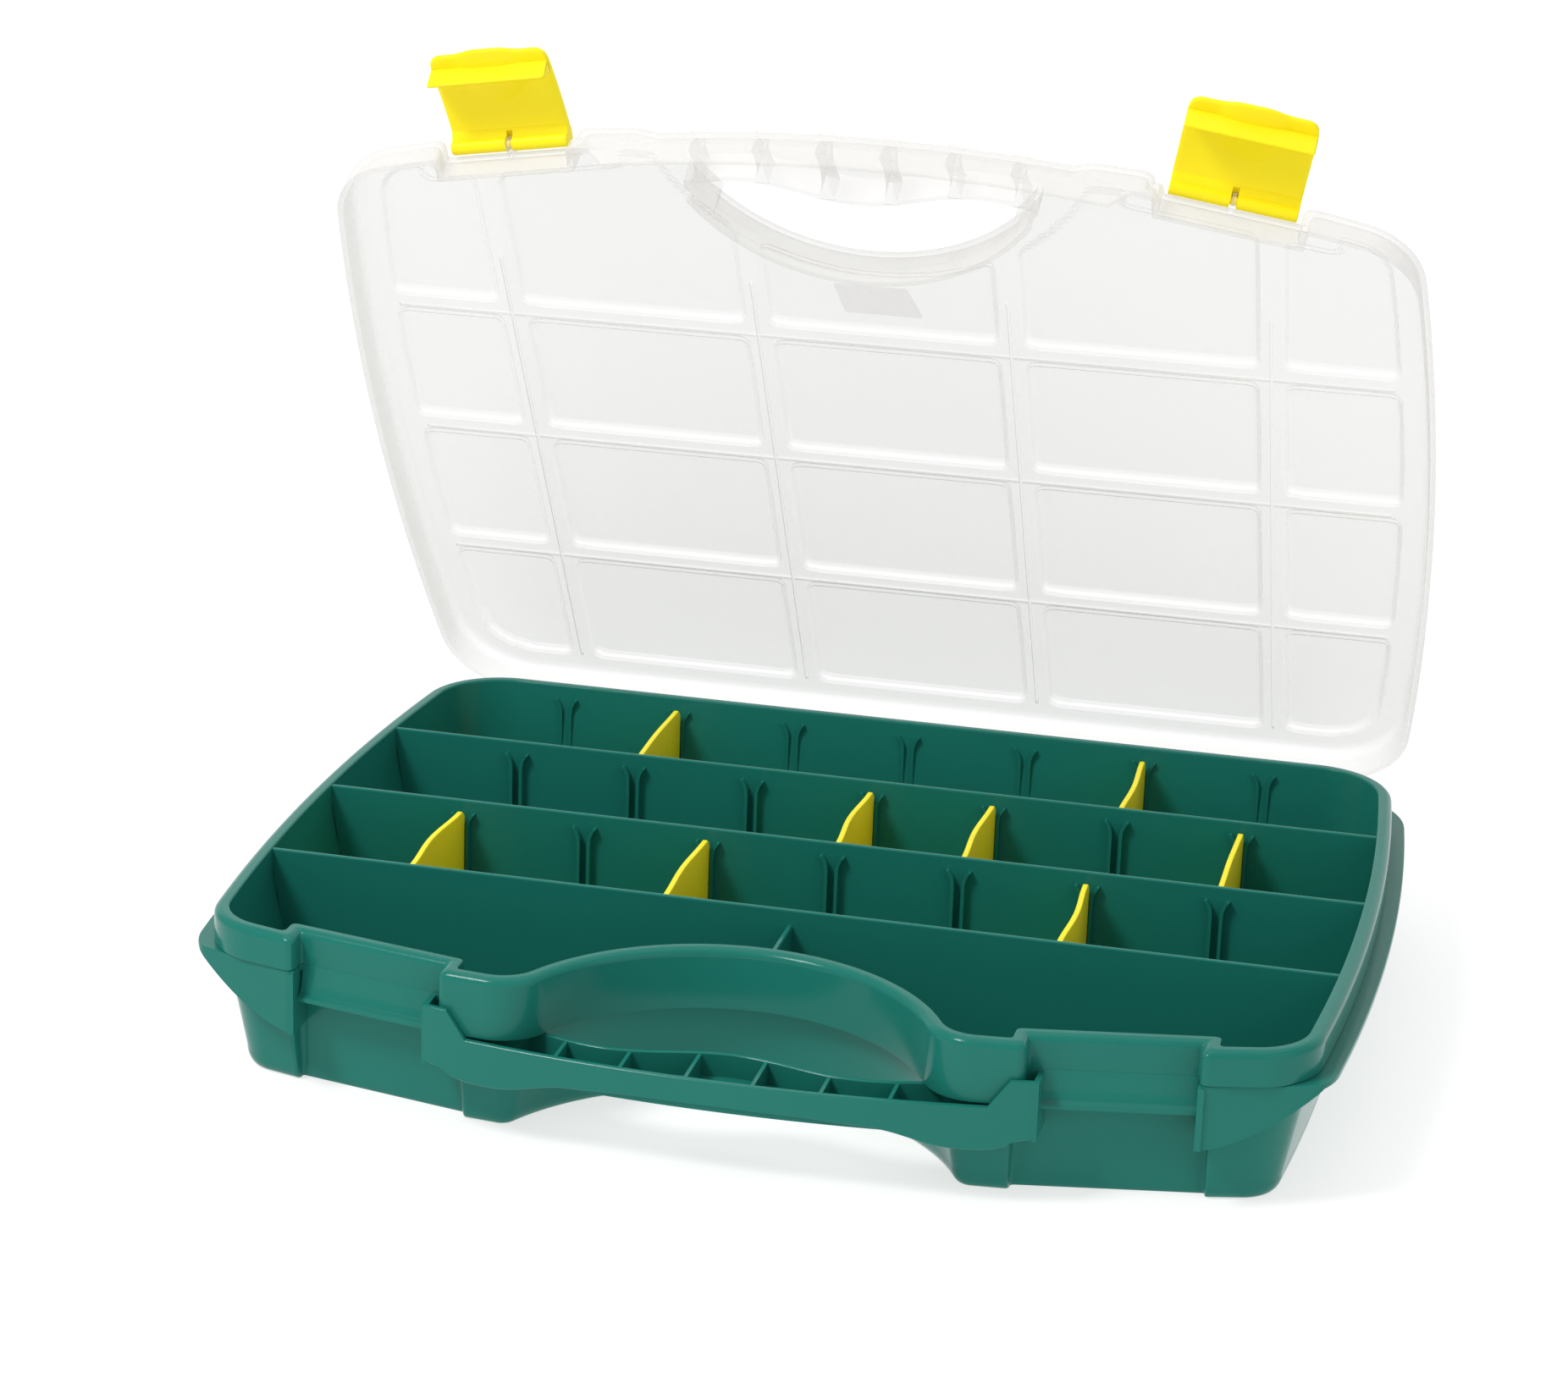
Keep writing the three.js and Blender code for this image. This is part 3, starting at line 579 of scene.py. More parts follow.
def slot_rib(x, side, y0, y1):
    """One rib of a slot: upright, with its top flared away from the slot."""
    near, thick = 1.25, 1.1
    up = [(3.0, 0), (43.5, 0), (45.5, 0.15), (47, 0.6), (48.3, 1.3), (RIB_TOP, 2.1)]
    inner = [[x + side * (near + flare), z] for z, flare in up]
    outer = [[x + side * (near + thick + flare * 0.9), z - 0.25] for z, flare in up[::-1]]
    outer[-1][1] = 3.0
    return along_y(inner + outer, y0, y1)


def slot_ribs(y0, y1):
    return [slot_rib(x, side, y0, y1) for x in SLOTS for side in (-1, 1)]


def long_wall(name):
    """A wall across the tray with a rounded top edge and rib pairs on the sides that hold dividers."""
    both_faces = name != LONG_WALLS[-1]
    front = node_box(name)[0][1] + (RIB_REACH if both_faces else 0)
    back = front + 2
    low = FLOOR_THICKNESS - 0.6
    ease, flare, root = 0.5, 0.15, 0.5
    profile = [
        [front - flare, low],
        [back + flare, low],
        [back, WALL_TOP - 0.7],
        [back - ease * 0.5, WALL_TOP - 0.2],
        [back - ease * 1.4, WALL_TOP],
        [front + ease * 1.4, WALL_TOP],
        [front + ease * 0.5, WALL_TOP - 0.2],
        [front, WALL_TOP - 0.7],
    ]
    pieces = [along_x(profile, -182, 182), *slot_ribs(back - root, back + RIB_REACH)]
    if both_faces:
        pieces += slot_ribs(front - RIB_REACH, front + root)
    return pieces


def short_partition():
    """The wall across the front row, long enough to run into the rim and the first long wall."""
    low, high = node_box("short_partition")
    foot, top = FLOOR_THICKNESS - 0.6, PARTITION_TOP
    profile = [
        [-1.05, foot], [1.05, foot], [0.9, top - 0.6],
        [0.55, top - 0.12], [-0.55, top - 0.12], [-0.9, top - 0.6],
    ]
    return along_y(profile, low[1] - 14, high[1] + 1)


def strip(sections):
    """A solid through closed sections of equally many points, from one end to the other."""
    return loft([np.array(section, float) for section in sections])


def parting_points(half, shoulder, parting):
    """The (x, z) points of the parting line along the front, lower over the handle."""
    ends = [(-half, shoulder), (-SHOULDER_X, shoulder), (-HANDLE_DROP_X, parting)]
    return ends + [(-x, z) for x, z in ends[::-1]]


def handle_plate():
    """The handle's bowed front plate with its deep ends and eased edges."""
    top_points = parting_points(HANDLE_HALF, LEDGE_TOP, HANDLE_PARTING)
    low_points = [
        (-HANDLE_HALF, 23.7), (-91.5, 23.6), (-87, 20.2), (-83, 19.4), (-70, 19.2),
        (-63, 20.8), (-52, 23.9), (-30, 25.2), (0, 25.5),
    ]
    low_points += [(-x, z) for x, z in low_points[-2::-1]]
    even = np.linspace(-HANDLE_HALF, HANDLE_HALF, 98)
    at = np.unique(np.concatenate([even, [x for x, _ in top_points]]))
    top = np.interp(at, *zip(*top_points))
    low = np.interp(at, *zip(*low_points))
    for _ in range(6):
        low[1:-1] = 0.25 * low[:-2] + 0.5 * low[1:-1] + 0.25 * low[2:]
    skin, ease = 2.2, 0.55
    sections = []
    for x, z0, z1 in zip(at, low, top):
        inset = ease if x in (at[0], at[-1]) else 0.0
        front = front_y(x) + inset
        back = front + skin - inset
        outline = rounded([[front, z0], [back, z0], [back, z1], [front, z1]], ease)
        sections.append(in_plane_x(outline, x))
    return strip(sections)


def wavy_wall(outer, half, low, high, thickness, ease=0.5):
    """A wall along the finger side of the handle, outer being its distance from the finger line."""
    sections = []
    for x in np.linspace(-half, half, 81):
        y = finger_y(x) - outer
        section = rounded([[y - thickness, low], [y, low], [y, high], [y - thickness, high]], ease)
        sections.append(in_plane_x(section, x))
    return strip(sections)


def tray_handle():
    """The hollow handle: its front plate, floor, wavy finger wall, ribs and end cheeks."""
    top = HANDLE_PARTING - 0.3
    x = np.linspace(-86, 86, 61)
    back = np.where(np.abs(x) < 62, finger_y(x) - 1, -122)
    floor_line = np.concatenate([
        np.stack([x, front_y(x) + 1], 1),
        np.stack([x[::-1], back[::-1]], 1),
    ])
    floor = prism(floor_line, GRIP_FLOOR, GRIP_FLOOR + 2.2)
    finger_wall = wavy_wall(0, 66, GRIP_FLOOR, top, 1.8)
    ribs = [
        block(at - 0.6, at + 0.6, front_y(at) + 1, finger_y(at) - 1, GRIP_FLOOR + 1, top - 0.4)
        for at in GRIP_RIBS
    ]
    cheek = block(95.2, HANDLE_HALF - 0.02, front_y(96) + 0.4, -118, 22.9, LEDGE_TOP - 0.3)
    return [handle_plate(), floor, finger_wall, *ribs, *both_sides(cheek)]


def tray():
    """The whole tray as one moulding."""
    arc_part = shared(upstand(HANDLE_PARTING), block(-95, 95, -170, -60, 0, LEDGE_TOP + 1))
    outside = joined(
        tray_outside(), upstand(LEDGE_TOP), arc_part, ledge(),
        *both_sides(right_apron()), *both_sides(right_catch()),
        *[ear for x in HINGE_STATIONS for ear in hinge_ears(x)],
        *tray_handle(),
    )
    hollowed = without(
        outside, tray_cavity(),
        *[block(x - EAR_INNER, x + EAR_INNER, 142.7, 160, 30, LEDGE_TOP + 1) for x in HINGE_STATIONS],
        *[rod(PIN_BORE, x - 14, x + 14, HINGE_Y, HINGE_Z) for x in HINGE_STATIONS],
    )
    inner = joined(
        *[piece for name in LONG_WALLS for piece in long_wall(name)],
        short_partition(),
        *slot_ribs(BACK_Y - RIB_REACH, BACK_Y + 3),
    )
    keep = stack(
        (1, offset_line(-1.4, body_draft(6))),
        (LEDGE_TOP, offset_line(-1)),
        (RIM_TOP - 0.6, offset_line(1.2)),
        (RIM_TOP + 3, offset_line(1.2)),
    )
    return finish_mesh(joined(hollowed, shared(inner, keep)), "tray_moulding")


# ---- Lid, in its closed place ----

def lid_main(inset, low, top, edge):
    """The lid without its handle: a skirt with a rounded top edge."""
    outer = LID_OUTER - inset
    rings = [(low, offset_line(outer))]
    for up, across in quarter(6):
        rings.append((top - edge + edge * up, offset_line(outer - 0.4 - edge * across)))
    return stack(*rings)


def lid_bar(inset, low, top, edge):
    """The lid over the handle, with its broad rounded front edge."""
    half = LID_FRONT_HALF - inset
    rear = -116 + inset

    def ring(depth):
        front = front_points(-half, half, inset + depth)
        outline = np.concatenate([front, [[half, rear], [-half, rear]]])
        sharp = np.zeros(len(outline), bool)
        sharp[[0, len(front) - 1]] = True
        return softened(outline, sharp, np.full(len(outline), 1.2))

    rings = [(low, ring(0))]
    for up, across in quarter(9):
        rings.append((top - edge + edge * up, ring(edge * across)))
    return stack(*rings)


def lid_envelope(inset, low, top, edge):
    return joined(lid_main(inset, low, top, edge), lid_bar(inset, low, top, 11 - inset))


def finger_hole(wall, low=20, high=75):
    radius = ARC_RADIUS - LID_OUTER + wall
    x = np.linspace(-58, 58, 59)
    x = x[ARC_CENTRE[1] + np.sqrt(radius ** 2 - x ** 2) > finger_y(x) - wall + 0.4]
    front = np.stack([x, finger_y(x) - wall], 1)
    back = np.stack([x[::-1], ARC_CENTRE[1] + np.sqrt(radius ** 2 - x[::-1] ** 2)], 1)
    return prism(np.concatenate([front, back]), low, high)


def inside_distance(x, y, line):
    """How far points are inside a closed line, in millimetres; outside it is negative."""
    points = np.stack([x.ravel(), y.ravel()], 1)
    nearest = np.full(len(points), np.inf)
    inside = np.zeros(len(points), bool)
    for a, b in zip(line, np.roll(line, -1, 0)):
        edge = b - a
        share = np.clip((points - a) @ edge / (edge @ edge), 0, 1)
        nearest = np.minimum(nearest, ((points - a - share[:, None] * edge) ** 2).sum(1))
        crosses = (a[1] > points[:, 1]) != (b[1] > points[:, 1])
        with np.errstate(divide="ignore", invalid="ignore"):
            at = a[0] + (points[:, 1] - a[1]) / (b[1] - a[1]) * edge[0]
        inside ^= crosses & (points[:, 0] < at)
    return (np.sqrt(nearest) * np.where(inside, 1, -1)).reshape(x.shape)


def stations(low, high, dense, fine, coarse):
    """Positions from low to high, fine within the dense ranges and coarse between them."""
    at, found = low, []
    while at < high:
        found.append(at)
        if any(a <= at <= b for a, b in dense):
            at += fine
        else:
            at = min([at + coarse] + [a for a, _ in dense if a > at])
    return np.array(found + [high])


def panels(z0):
    """The raised panels as one solid, with z0 the level that they rise from."""
    reach_x, back, front = 178, 136, -126
    near = PANEL_SLOPE + STRIP_HALF + 1
    dense_x = [(-200, -158), (158, 200)] + [(x - near, x + near) for x in STRIPS_X]
    dense_y = [(front, -76), (122, back)] + [(y - near, y + near) for y in STRIPS_Y]
    xs = stations(-reach_x, reach_x, dense_x, 0.7, 2)
    ys = stations(front, back, dense_y, 0.7, 6)
    x, y = np.meshgrid(xs, ys, indexing="ij")
    across = np.min([np.abs(x - strip_x) for strip_x in STRIPS_X], 0) - STRIP_HALF
    along = np.min([np.abs(y - strip_y) for strip_y in STRIPS_Y], 0) - STRIP_HALF
    field = inside_distance(x, y, offset_line(-3.4))
    hole = np.hypot(x - ARC_CENTRE[0], y - ARC_CENTRE[1]) - (ARC_RADIUS + 4.5)
    short = sum(np.maximum(PANEL_CORNER - d, 0) ** 2 for d in (across, along, field, hole))
    inside = PANEL_CORNER - np.sqrt(short)
    share = np.clip(inside / PANEL_SLOPE, 0, 1)
    rise = PANEL_RAISE * share * share * (3 - 2 * share)
    top = np.stack([x, y, z0 - 0.03 + rise], 2)
    return shared(heightfield(top, z0 - 1), prism(offset_line(-2), z0 - 2, z0 + 5))


def heightfield(top, base):
    """A closed solid between a grid of points and the level base."""
    rows, columns = top.shape[:2]
    points = top.reshape(-1, 3)
    index = np.arange(rows * columns).reshape(rows, columns)
    border = np.concatenate([index[:-1, 0], index[-1, :-1], index[:0:-1, -1], index[0, :0:-1]])
    foot = points[border].copy()
    foot[:, 2] = base
    corners = [index[:-1, :-1], index[1:, :-1], index[1:, 1:], index[:-1, 1:]]
    faces = np.stack(corners, -1).reshape(-1, 4).tolist()
    start = len(points)
    count = len(border)
    for i in range(count):
        j = (i + 1) % count
        faces.append((border[i], start + i, start + j, border[j]))
    faces.append(tuple(range(start, start + count))[::-1])
    return shape(np.concatenate([points, foot]), faces)


def knuckle(x):
    """The lid's arm and ring at a hinge station."""
    half = 7
    profile = [[143.4, 44], [143.8, 35.3], [151.2, 35.3], [151.2, 40], [146, 52], [143.4, 52]]
    arm = along_x(profile, x - half, x + half)
    ring = rod(3.7, x - half, x + half, HINGE_Y, HINGE_Z)
    return [arm, ring]


def right_latch_tab():
    """The thin tab that carries the right latch's axle."""
    profile = rounded([[4, 52], [4, 57.6], [-1.5, 58.4], [-2.4, 56], [-1.8, 53.4]], 0.4)
    tab = along_x(profile, -0.7, 0.7)
    return moved(without(tab, rod(1.65, -2, 2, 0, LATCH_PIVOT_Z)), RIGHT_POCKET)


def front_skirt():
    """The skirt over the handle's parting line, with diagonal ends."""
    half, high = 95, 48
    low_points = parting_points(half, LID_BOTTOM, LID_BAR_BOTTOM)
    at = np.unique(np.concatenate([np.linspace(-half, half, 60), [x for x, _ in low_points]]))
    low = np.interp(at, *zip(*low_points))
    sections = []
    for x, z0 in zip(at, low):
        front, back = front_y(x), front_y(x) + LID_WALL
        outline = rounded([[front, z0], [back, z0], [back, high], [front, high]], 0.4)
        sections.append(in_plane_x(outline, x))
    return strip(sections)


def arc_skirt():
    """The wall behind the finger hole, carried on below the rest of the skirt."""
    radius = ARC_RADIUS - LID_OUTER
    near = arc(ARC_CENTRE, radius, 32, 148, 40)
    far = arc(ARC_CENTRE, radius + LID_WALL, 148, 32, 40)
    return prism(np.concatenate([far[::-1], near[::-1]]), LID_ARC_BOTTOM, LID_BOTTOM + 2)


def seal_ribs():
    """Thin ribs under the strips, over the tray's walls and slots."""
    low, high = LID_TOP - LID_SKIN - 1.1, LID_TOP - 1
    half, half_length, back = 0.5, 171, 131
    across = [
        block(x - half, x + half, -76 if abs(x) > 60 else -74, back, low, high)
        for x in STRIPS_X
    ]
    along = [block(-half_length, half_length, y - half, y + half, low, high) for y in STRIPS_Y]
    return across + along


def grip_rib(x):
    """An hourglass rib between the lid's front skirt and its finger wall."""
    y0, y1 = front_y(x) + 1, finger_y(x) - 0.8
    shares = np.linspace(0, 1, 13)
    half = 1.0 + 1.6 * (2 * shares - 1) ** 2
    y = y0 + (y1 - y0) * shares
    outline = np.concatenate([np.stack([x + half, y], 1), np.stack([x - half[::-1], y[::-1]], 1)])
    return prism(outline, 45, LID_TOP - 4)


def lid():
    """The whole lid as one moulding, turned to its place at rest."""
    top_inside = LID_TOP - LID_SKIN
    outside = joined(lid_envelope(0, LID_BOTTOM, LID_TOP, LID_EDGE), panels(LID_TOP))
    outside = without(outside, finger_hole(0))
    hollow = lid_envelope(LID_WALL, LID_BOTTOM - 5, top_inside, LID_EDGE - LID_SKIN)
    hollow = without(hollow, finger_hole(LID_WALL))
    hollow = joined(hollow, panels(top_inside))
    inner = joined(*seal_ribs())
    shell = joined(
        without(outside, hollow), inner, front_skirt(), arc_skirt(),
        *[grip_rib(x) for x in GRIP_RIBS],
        *[piece for x in HINGE_STATIONS for piece in knuckle(x)],
        *both_sides(right_latch_tab()),
    )
    bores = [rod(PIN_BORE + 0.05, x - 9, x + 9, HINGE_Y, HINGE_Z) for x in HINGE_STATIONS]
    return finish_mesh(moved(without(shell, *bores), LID_TO_REST), "lid_moulding", 40)


# ---- Latches, dividers, pins and label ----

def latch_plate():
    """The bowed plate with its thumb bulge and dish, as sections across its width."""
    thick, length, corner = 2.0, 33.0, 4.2
    w = LATCH_HALF_WIDTH
    sections = []
    for u in np.concatenate([[-w], np.linspace(-w + 0.5, w - 0.5, 49), [w]]):
        from_end = w - abs(u)
        reach = length + 1.6 * math.exp(-(u / 8.5) ** 4)
        if from_end < corner:
            reach -= corner - math.sqrt(corner ** 2 - (corner - from_end) ** 2)
        thin = 0.35 if from_end < 0.2 else 0.0
        s = np.linspace(2, reach - 1, 30)
        dish = 1.1 * np.clip(1 - (u ** 2 + (s - 26) ** 2) / 11.5 ** 2, 0, 1) ** 0.7
        bow = 0.9 * (1 - ((s - 16) / 16) ** 2)
        outer = 4.1 + bow - dish - thin
        inner = outer - thick + 2 * thin
        face_out = np.stack([-outer, -s], 1)
        face_in = np.stack([-inner, -s], 1)
        centre = (face_out[-1] + face_in[-1]) / 2
        angles = np.linspace(0, math.pi, 9)[1:-1]
        radius = (outer[-1] - inner[-1]) / 2
        tip = np.stack([centre[0] - radius * np.cos(angles), centre[1] - radius * np.sin(angles)], 1)
        section = np.concatenate([face_out, tip, face_in[::-1]])
        sections.append(in_plane_x(section, u))
    return strip(sections)


def latch_solid():
    """A latch hanging closed from its axle at the origin; its outer face towards -Y."""
    w = LATCH_HALF_WIDTH
    barrel = rod(2.4, -w, w, 0, 0, 0.4)
    web_profile = rounded([
        [1.6, -1.4], [-0.5, -2.3], [-2.7, -4.8], [-4.2, -4.5], [-4.6, -1.8], [-3.6, 1.2], [-1.6, 2.2],
    ], 0.6)
    web = along_x(web_profile, -w, w, 0.3)
    lip_profile = rounded([
        [-2.6, -24.2], [3.2, -24.9], [4.1, -25.5], [4.1, -26.3], [-2.6, -28.6],
    ], 0.5)
    lip = along_x(lip_profile, -w, w, 0.7)
    tab_gap = block(-1.1, 1.1, -2.6, 6, -4, 6)
    axle = rod(1.3, -3, 3, 0, 0, 0, 20)
    return joined(without(joined(latch_plate(), barrel, web, lip), tab_gap), axle)


def latch(name, side):
    """A latch in its place at rest, swung open; side is -1 on the left and 1 on the right."""
    solid = latch_solid()
    place = (
        LID_TO_REST
        @ Matrix.Translation((side * LATCH_PIVOT_X, LATCH_PIVOT_Y, LATCH_PIVOT_Z))
        @ Matrix.Rotation(side * POCKET_ANGLE, 4, "Z")
        @ Matrix.Rotation(-LATCH_OPEN, 4, "X")
    )
    return finish_mesh(moved(solid, place), name, 40)


# How far each thin divider bows sideways at its middle.
DIVIDER_BOW = {
    "divider_1_2": -0.5, "divider_1_6": 1.0, "divider_2_4": -1.5, "divider_2_5": -1.1,
    "divider_2_7": -0.3, "divider_3_1": -1.7, "divider_3_3": -1.0, "divider_3_6": 1.2,
}


def divider(node):
    """A thin plate with eased edges that bows a little between its slots."""
    low, high = node_box(node)
    centre = (low + high) / 2
    half, height, thick = (high[1] - low[1]) / 2, high[2] - low[2], (high[0] - low[0]) / 2
    places = np.concatenate([[-half, -half + 0.3], np.linspace(-half + 1, half - 1, 33), [half - 0.3, half]])
    sections = []
    for y in places:
        from_end = half - abs(y)
        top = height - 2.6 * max(0, 1 - from_end / 3.2) ** 2
        thin = thick - (0.35 if from_end < 0.1 else 0)
        bowed = np.clip((from_end - RIB_REACH) / (half - RIB_REACH), 0, 1)
        bow = DIVIDER_BOW[node] * math.sin(math.pi * bowed / 2) ** 2
        section = rounded([[bow - thin, 0], [bow + thin, 0], [bow + thin, top], [bow - thin, top]], 0.45)
        sections.append(in_plane_y(section, y))
    solid = strip(sections)
    moved(solid, Matrix.Translation((centre[0], centre[1], low[2])))
    return finish_mesh(solid, node.replace("divider", "divider_plate"), 30)


def hinge_pin(node):
    """A pin with eased ends on the lid's hinge line."""
    low, high = node_box(node)
    radius = (high[2] - low[2]) / 2
    solid = rod(radius, low[0], high[0], HINGE_Y, HINGE_Z, 0.5)
    return finish_mesh(solid, node.replace("pin", "pin_rod"), 30)


def label():
    """A blank film parallelogram with rounded corners on the middle front panel."""
    outline = rounded([(-16.5, -72.4), (8.6, -72.4), (13.4, -59.4), (-13.3, -59.4)], 0.8)
    z = LID_TOP + PANEL_RAISE
    return finish_mesh(moved(prism(outline, z + 0.02, z + 0.3), LID_TO_REST), "label_film", 30)


# ---- Materials ----

def material(name):
    made = bpy.data.materials.new(name)
    made.use_nodes = True
    tree = made.node_tree
    tree.nodes.clear()
    shader = tree.nodes.new("ShaderNodeBsdfPrincipled")
    output = tree.nodes.new("ShaderNodeOutputMaterial")
    tree.links.new(shader.outputs["BSDF"], output.inputs["Surface"])
    coordinates = tree.nodes.new("ShaderNodeTexCoord")
    return made, tree, shader, coordinates.outputs["Object"]


def noise(tree, coordinates, scale, detail=2.0):
    node = tree.nodes.new("ShaderNodeTexNoise")
    node.inputs["Scale"].default_value = scale
    node.inputs["Detail"].default_value = detail
    tree.links.new(coordinates, node.inputs["Vector"])
    return node.outputs["Fac"]


def ramp(tree, value, low, high):
    """Maps a 0 to 1 value to numbers from low to high."""
    node = tree.nodes.new("ShaderNodeMapRange")
    node.inputs["From Min"].default_value = 0.15
    node.inputs["From Max"].default_value = 0.85
    node.inputs["To Min"].default_value = low
    node.inputs["To Max"].default_value = high
    tree.links.new(value, node.inputs["Value"])
    return node.outputs["Result"]


def blend_colours(tree, value, first, second):
    node = tree.nodes.new("ShaderNodeMix")
    node.data_type = "RGBA"
    node.inputs["A"].default_value = (*first, 1)
    node.inputs["B"].default_value = (*second, 1)
    tree.links.new(ramp(tree, value, 0, 1), node.inputs["Factor"])
    return node.outputs["Result"]


def grain_bump(tree, shader, coordinates, scale, distance, strength):
    node = tree.nodes.new("ShaderNodeBump")
    node.inputs["Distance"].default_value = distance
    node.inputs["Strength"].default_value = strength
    tree.links.new(noise(tree, coordinates, scale, 3), node.inputs["Height"])
    tree.links.new(node.outputs["Normal"], shader.inputs["Normal"])


def moulded_plastic(name, first, second, rough_low, rough_high, scatter=0.0, scatter_radius=(1, 1, 1)):
    """Moulded polypropylene: faint flow variation in its colour and gloss, and a fine skin texture."""
    made, tree, shader, coordinates = material(name)
    shader.inputs["Specular IOR Level"].default_value = 0.17
    tint = blend_colours(tree, noise(tree, coordinates, 22), first, second)
    tree.links.new(tint, shader.inputs["Base Color"])
    gloss = ramp(tree, noise(tree, coordinates, 60, 4), rough_low, rough_high)
    tree.links.new(gloss, shader.inputs["Roughness"])
    grain_bump(tree, shader, coordinates, 900, 0.00004, 0.35)
    shader.inputs["IOR"].default_value = 1.49
    if scatter:
        shader.inputs["Subsurface Weight"].default_value = scatter
        shader.inputs["Subsurface Radius"].default_value = scatter_radius
        shader.inputs["Subsurface Scale"].default_value = 0.002
    return made


def clear_plastic():
    """Milky translucent polypropylene: nearly see-through face on, denser where it is seen edge on."""
    made, tree, shader, coordinates = material("milky_clear_plastic")
    first, second = (0.79, 0.772, 0.745), (0.81, 0.792, 0.765)
    tint = blend_colours(tree, noise(tree, coordinates, 9), first, second)
    tree.links.new(tint, shader.inputs["Base Color"])
    gloss = ramp(tree, noise(tree, coordinates, 45, 4), 0.33, 0.39)
    tree.links.new(gloss, shader.inputs["Roughness"])
    grain_bump(tree, shader, coordinates, 900, 0.00003, 0.1)
    shader.inputs["Specular IOR Level"].default_value = 0.3
    facing = tree.nodes.new("ShaderNodeLayerWeight")
    facing.inputs["Blend"].default_value = 0.4
    density = tree.nodes.new("ShaderNodeMapRange")
    density.inputs["To Min"].default_value = 0.11
    density.inputs["To Max"].default_value = 0.56
    tree.links.new(facing.outputs["Facing"], density.inputs["Value"])
    tree.links.new(density.outputs["Result"], shader.inputs["Alpha"])
    shader.inputs["IOR"].default_value = 1.49
    return made


def film():
    """The blank label's film."""
    made, tree, shader, coordinates = material("label_film")
    tint = blend_colours(tree, noise(tree, coordinates, 300), (0.92, 0.84, 0.91), (0.94, 0.87, 0.93))
    tree.links.new(tint, shader.inputs["Base Color"])
    tree.links.new(ramp(tree, noise(tree, coordinates, 500), 0.45, 0.6), shader.inputs["Roughness"])
    shader.inputs["Alpha"].default_value = 0.17
    return made


def floor_material():
    """A pale matt floor that also glows a little, so that it stays near white under soft light."""
    made, tree, shader, coordinates = material("pale_floor")
    tint = blend_colours(tree, noise(tree, coordinates, 3), (0.41, 0.41, 0.41), (0.43, 0.43, 0.43))
    tree.links.new(tint, shader.inputs["Base Color"])
    shader.inputs["Emission Color"].default_value = (1, 1, 1, 1)
    shader.inputs["Emission Strength"].default_value = 0.68
    shader.inputs["Roughness"].default_value = 0.9
    shader.inputs["Specular IOR Level"].default_value = 0.1
    return made


GREEN = moulded_plastic("green_plastic", (0.012, 0.164, 0.130), (0.013, 0.174, 0.138), 0.13, 0.19)
YELLOW = moulded_plastic(
    "yellow_plastic", (0.97, 0.79, 0.01), (0.99, 0.82, 0.012), 0.3, 0.38, 0.25, (1, 0.7, 0.1))
CLEAR = clear_plastic()


def place(piece, body, slot, finish, *nodes):
    """Gives a finished piece its material and body, and hides the CAD nodes that it replaces; slot is not
    used.
    """
    piece.data.materials.clear()
    piece.data.materials.append(finish)
    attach(piece, body)
    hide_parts(*nodes)


# ---- Camera, light and floor ----

def camera():
    """Looks at the case from the front and a little from the right, slightly rolled."""
    target = Vector((-55.9, 172.9, 49.3)) * MM
    azimuth, elevation, roll = math.radians(12.84), math.radians(18.905), math.radians(1.9)
    distance = 1.5153
    back = Vector((
        math.sin(azimuth) * math.cos(elevation),
        -math.cos(azimuth) * math.cos(elevation),
        math.sin(elevation),
    ))
    right = Vector((0, 0, 1)).cross(back).normalized()
    up = back.cross(right)
    basis = Matrix((right, up, back)).transposed().to_4x4()
    data = bpy.data.cameras.new("camera")
    data.lens = 92.06
    data.clip_start = 0.05
    obj = bpy.data.objects.new("camera", data)
    turned = basis @ Matrix.Rotation(roll, 4, "Z")
    obj.matrix_world = Matrix.Translation(target + back * distance) @ turned
    bpy.context.scene.collection.objects.link(obj)
    bpy.context.scene.camera = obj


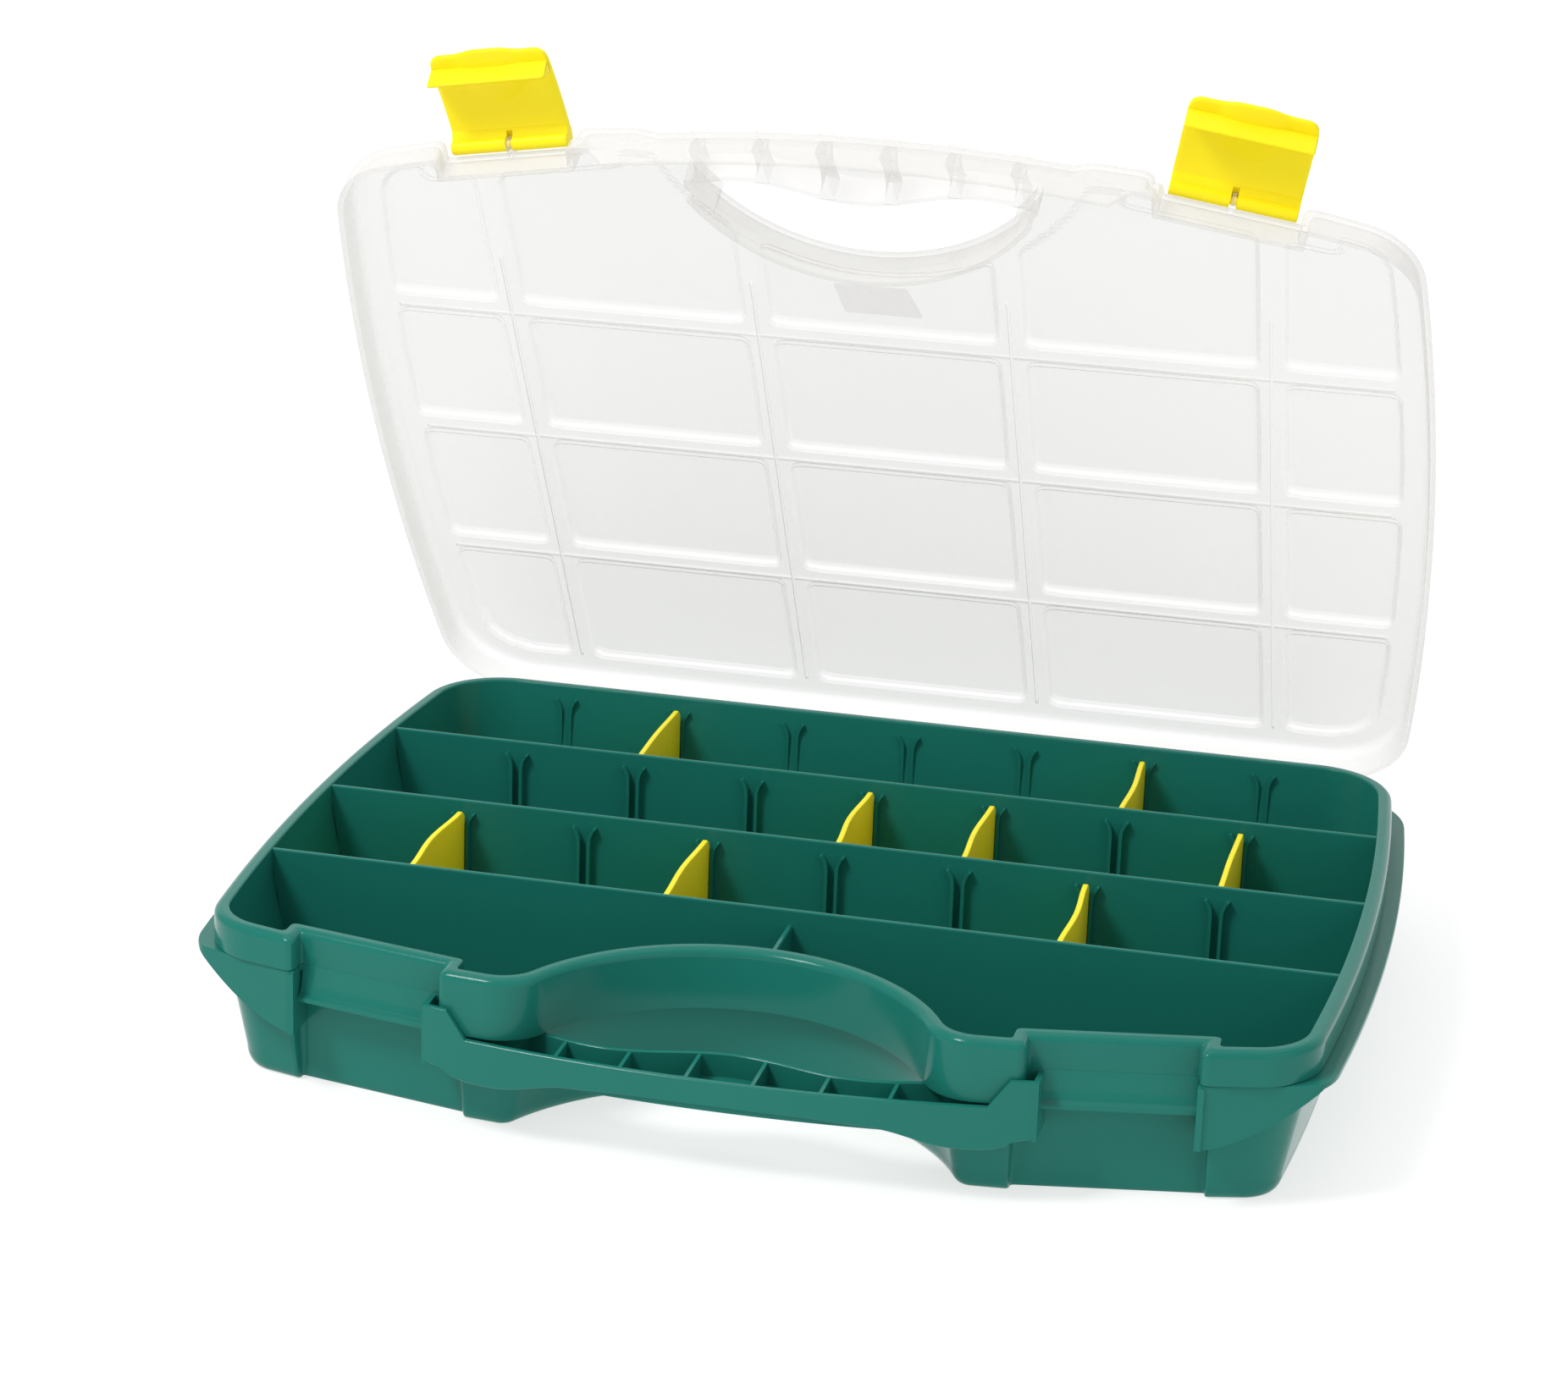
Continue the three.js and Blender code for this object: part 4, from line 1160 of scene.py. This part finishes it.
def area_light(name, position, target, size, power):
    data = bpy.data.lights.new(name, "AREA")
    data.shape = "RECTANGLE"
    data.size, data.size_y = size
    data.energy = power
    obj = bpy.data.objects.new(name, data)
    direction = Vector(position) - Vector(target)
    turned = direction.to_track_quat("Z", "Y").to_matrix().to_4x4()
    obj.matrix_world = Matrix.Translation(position) @ turned
    bpy.context.scene.collection.objects.link(obj)


def studio():
    area_light("key", (-0.9, -1.0, 1.7), (0, 0, 0.05), (0.5, 0.5), 25)
    area_light("fill", (1.7, -1.2, 1.0), (0, 0, 0.1), (1.6, 1.6), 4)
    area_light("top", (0, 0.3, 2.2), (0, 0, 0), (2.2, 2.2), 12)
    world = bpy.data.worlds.new("studio")
    world.use_nodes = True
    background = world.node_tree.nodes["Background"]
    background.inputs["Color"].default_value = (1, 1, 1, 1)
    background.inputs["Strength"].default_value = 0.5
    bpy.context.scene.world = world
    bpy.context.scene.view_settings.view_transform = "Standard"


def floor():
    """A wide floor that curves up behind the case."""
    near, far, radius, height, half_width = -3, 1.6, 0.8, 3, 4
    angles = np.linspace(0.1, math.pi / 2, 12)
    profile = [(near, 0), (far, 0)]
    profile += [(far + radius * math.sin(a), radius - radius * math.cos(a)) for a in angles]
    profile.append((far + radius, height))
    vertices = [(x / MM, y / MM, z / MM) for y, z in profile for x in (-half_width, half_width)]
    faces = [(2 * i, 2 * i + 1, 2 * i + 3, 2 * i + 2) for i in range(len(profile) - 1)]
    sheet = shape(vertices, faces)
    sheet.name = "floor"
    sheet.data.shade_smooth()
    sheet.data.materials.append(floor_material())


# ---- Assembly ----

camera()
studio()
floor()

TRAY_NODES = ["tray_shell", "tray_handle", "short_partition", *LONG_WALLS]

place(tray(), "tray", "green_plastic", GREEN, *TRAY_NODES)
place(lid(), "lid", "clear_plastic", CLEAR, "lid_shell", "lid_handle")
place(label(), "lid", "label_film", film(), "lid_label")
place(latch("latch_flap_left", -1), "latch_left", "yellow_plastic", YELLOW, "latch_left")
place(latch("latch_flap_right", 1), "latch_right", "yellow_plastic", YELLOW, "latch_right")
for pin in HINGE_PINS:
    place(hinge_pin(pin), "tray", "green_plastic", GREEN, pin)
for node in DIVIDERS:
    place(divider(node), node, "yellow_plastic", YELLOW, node)
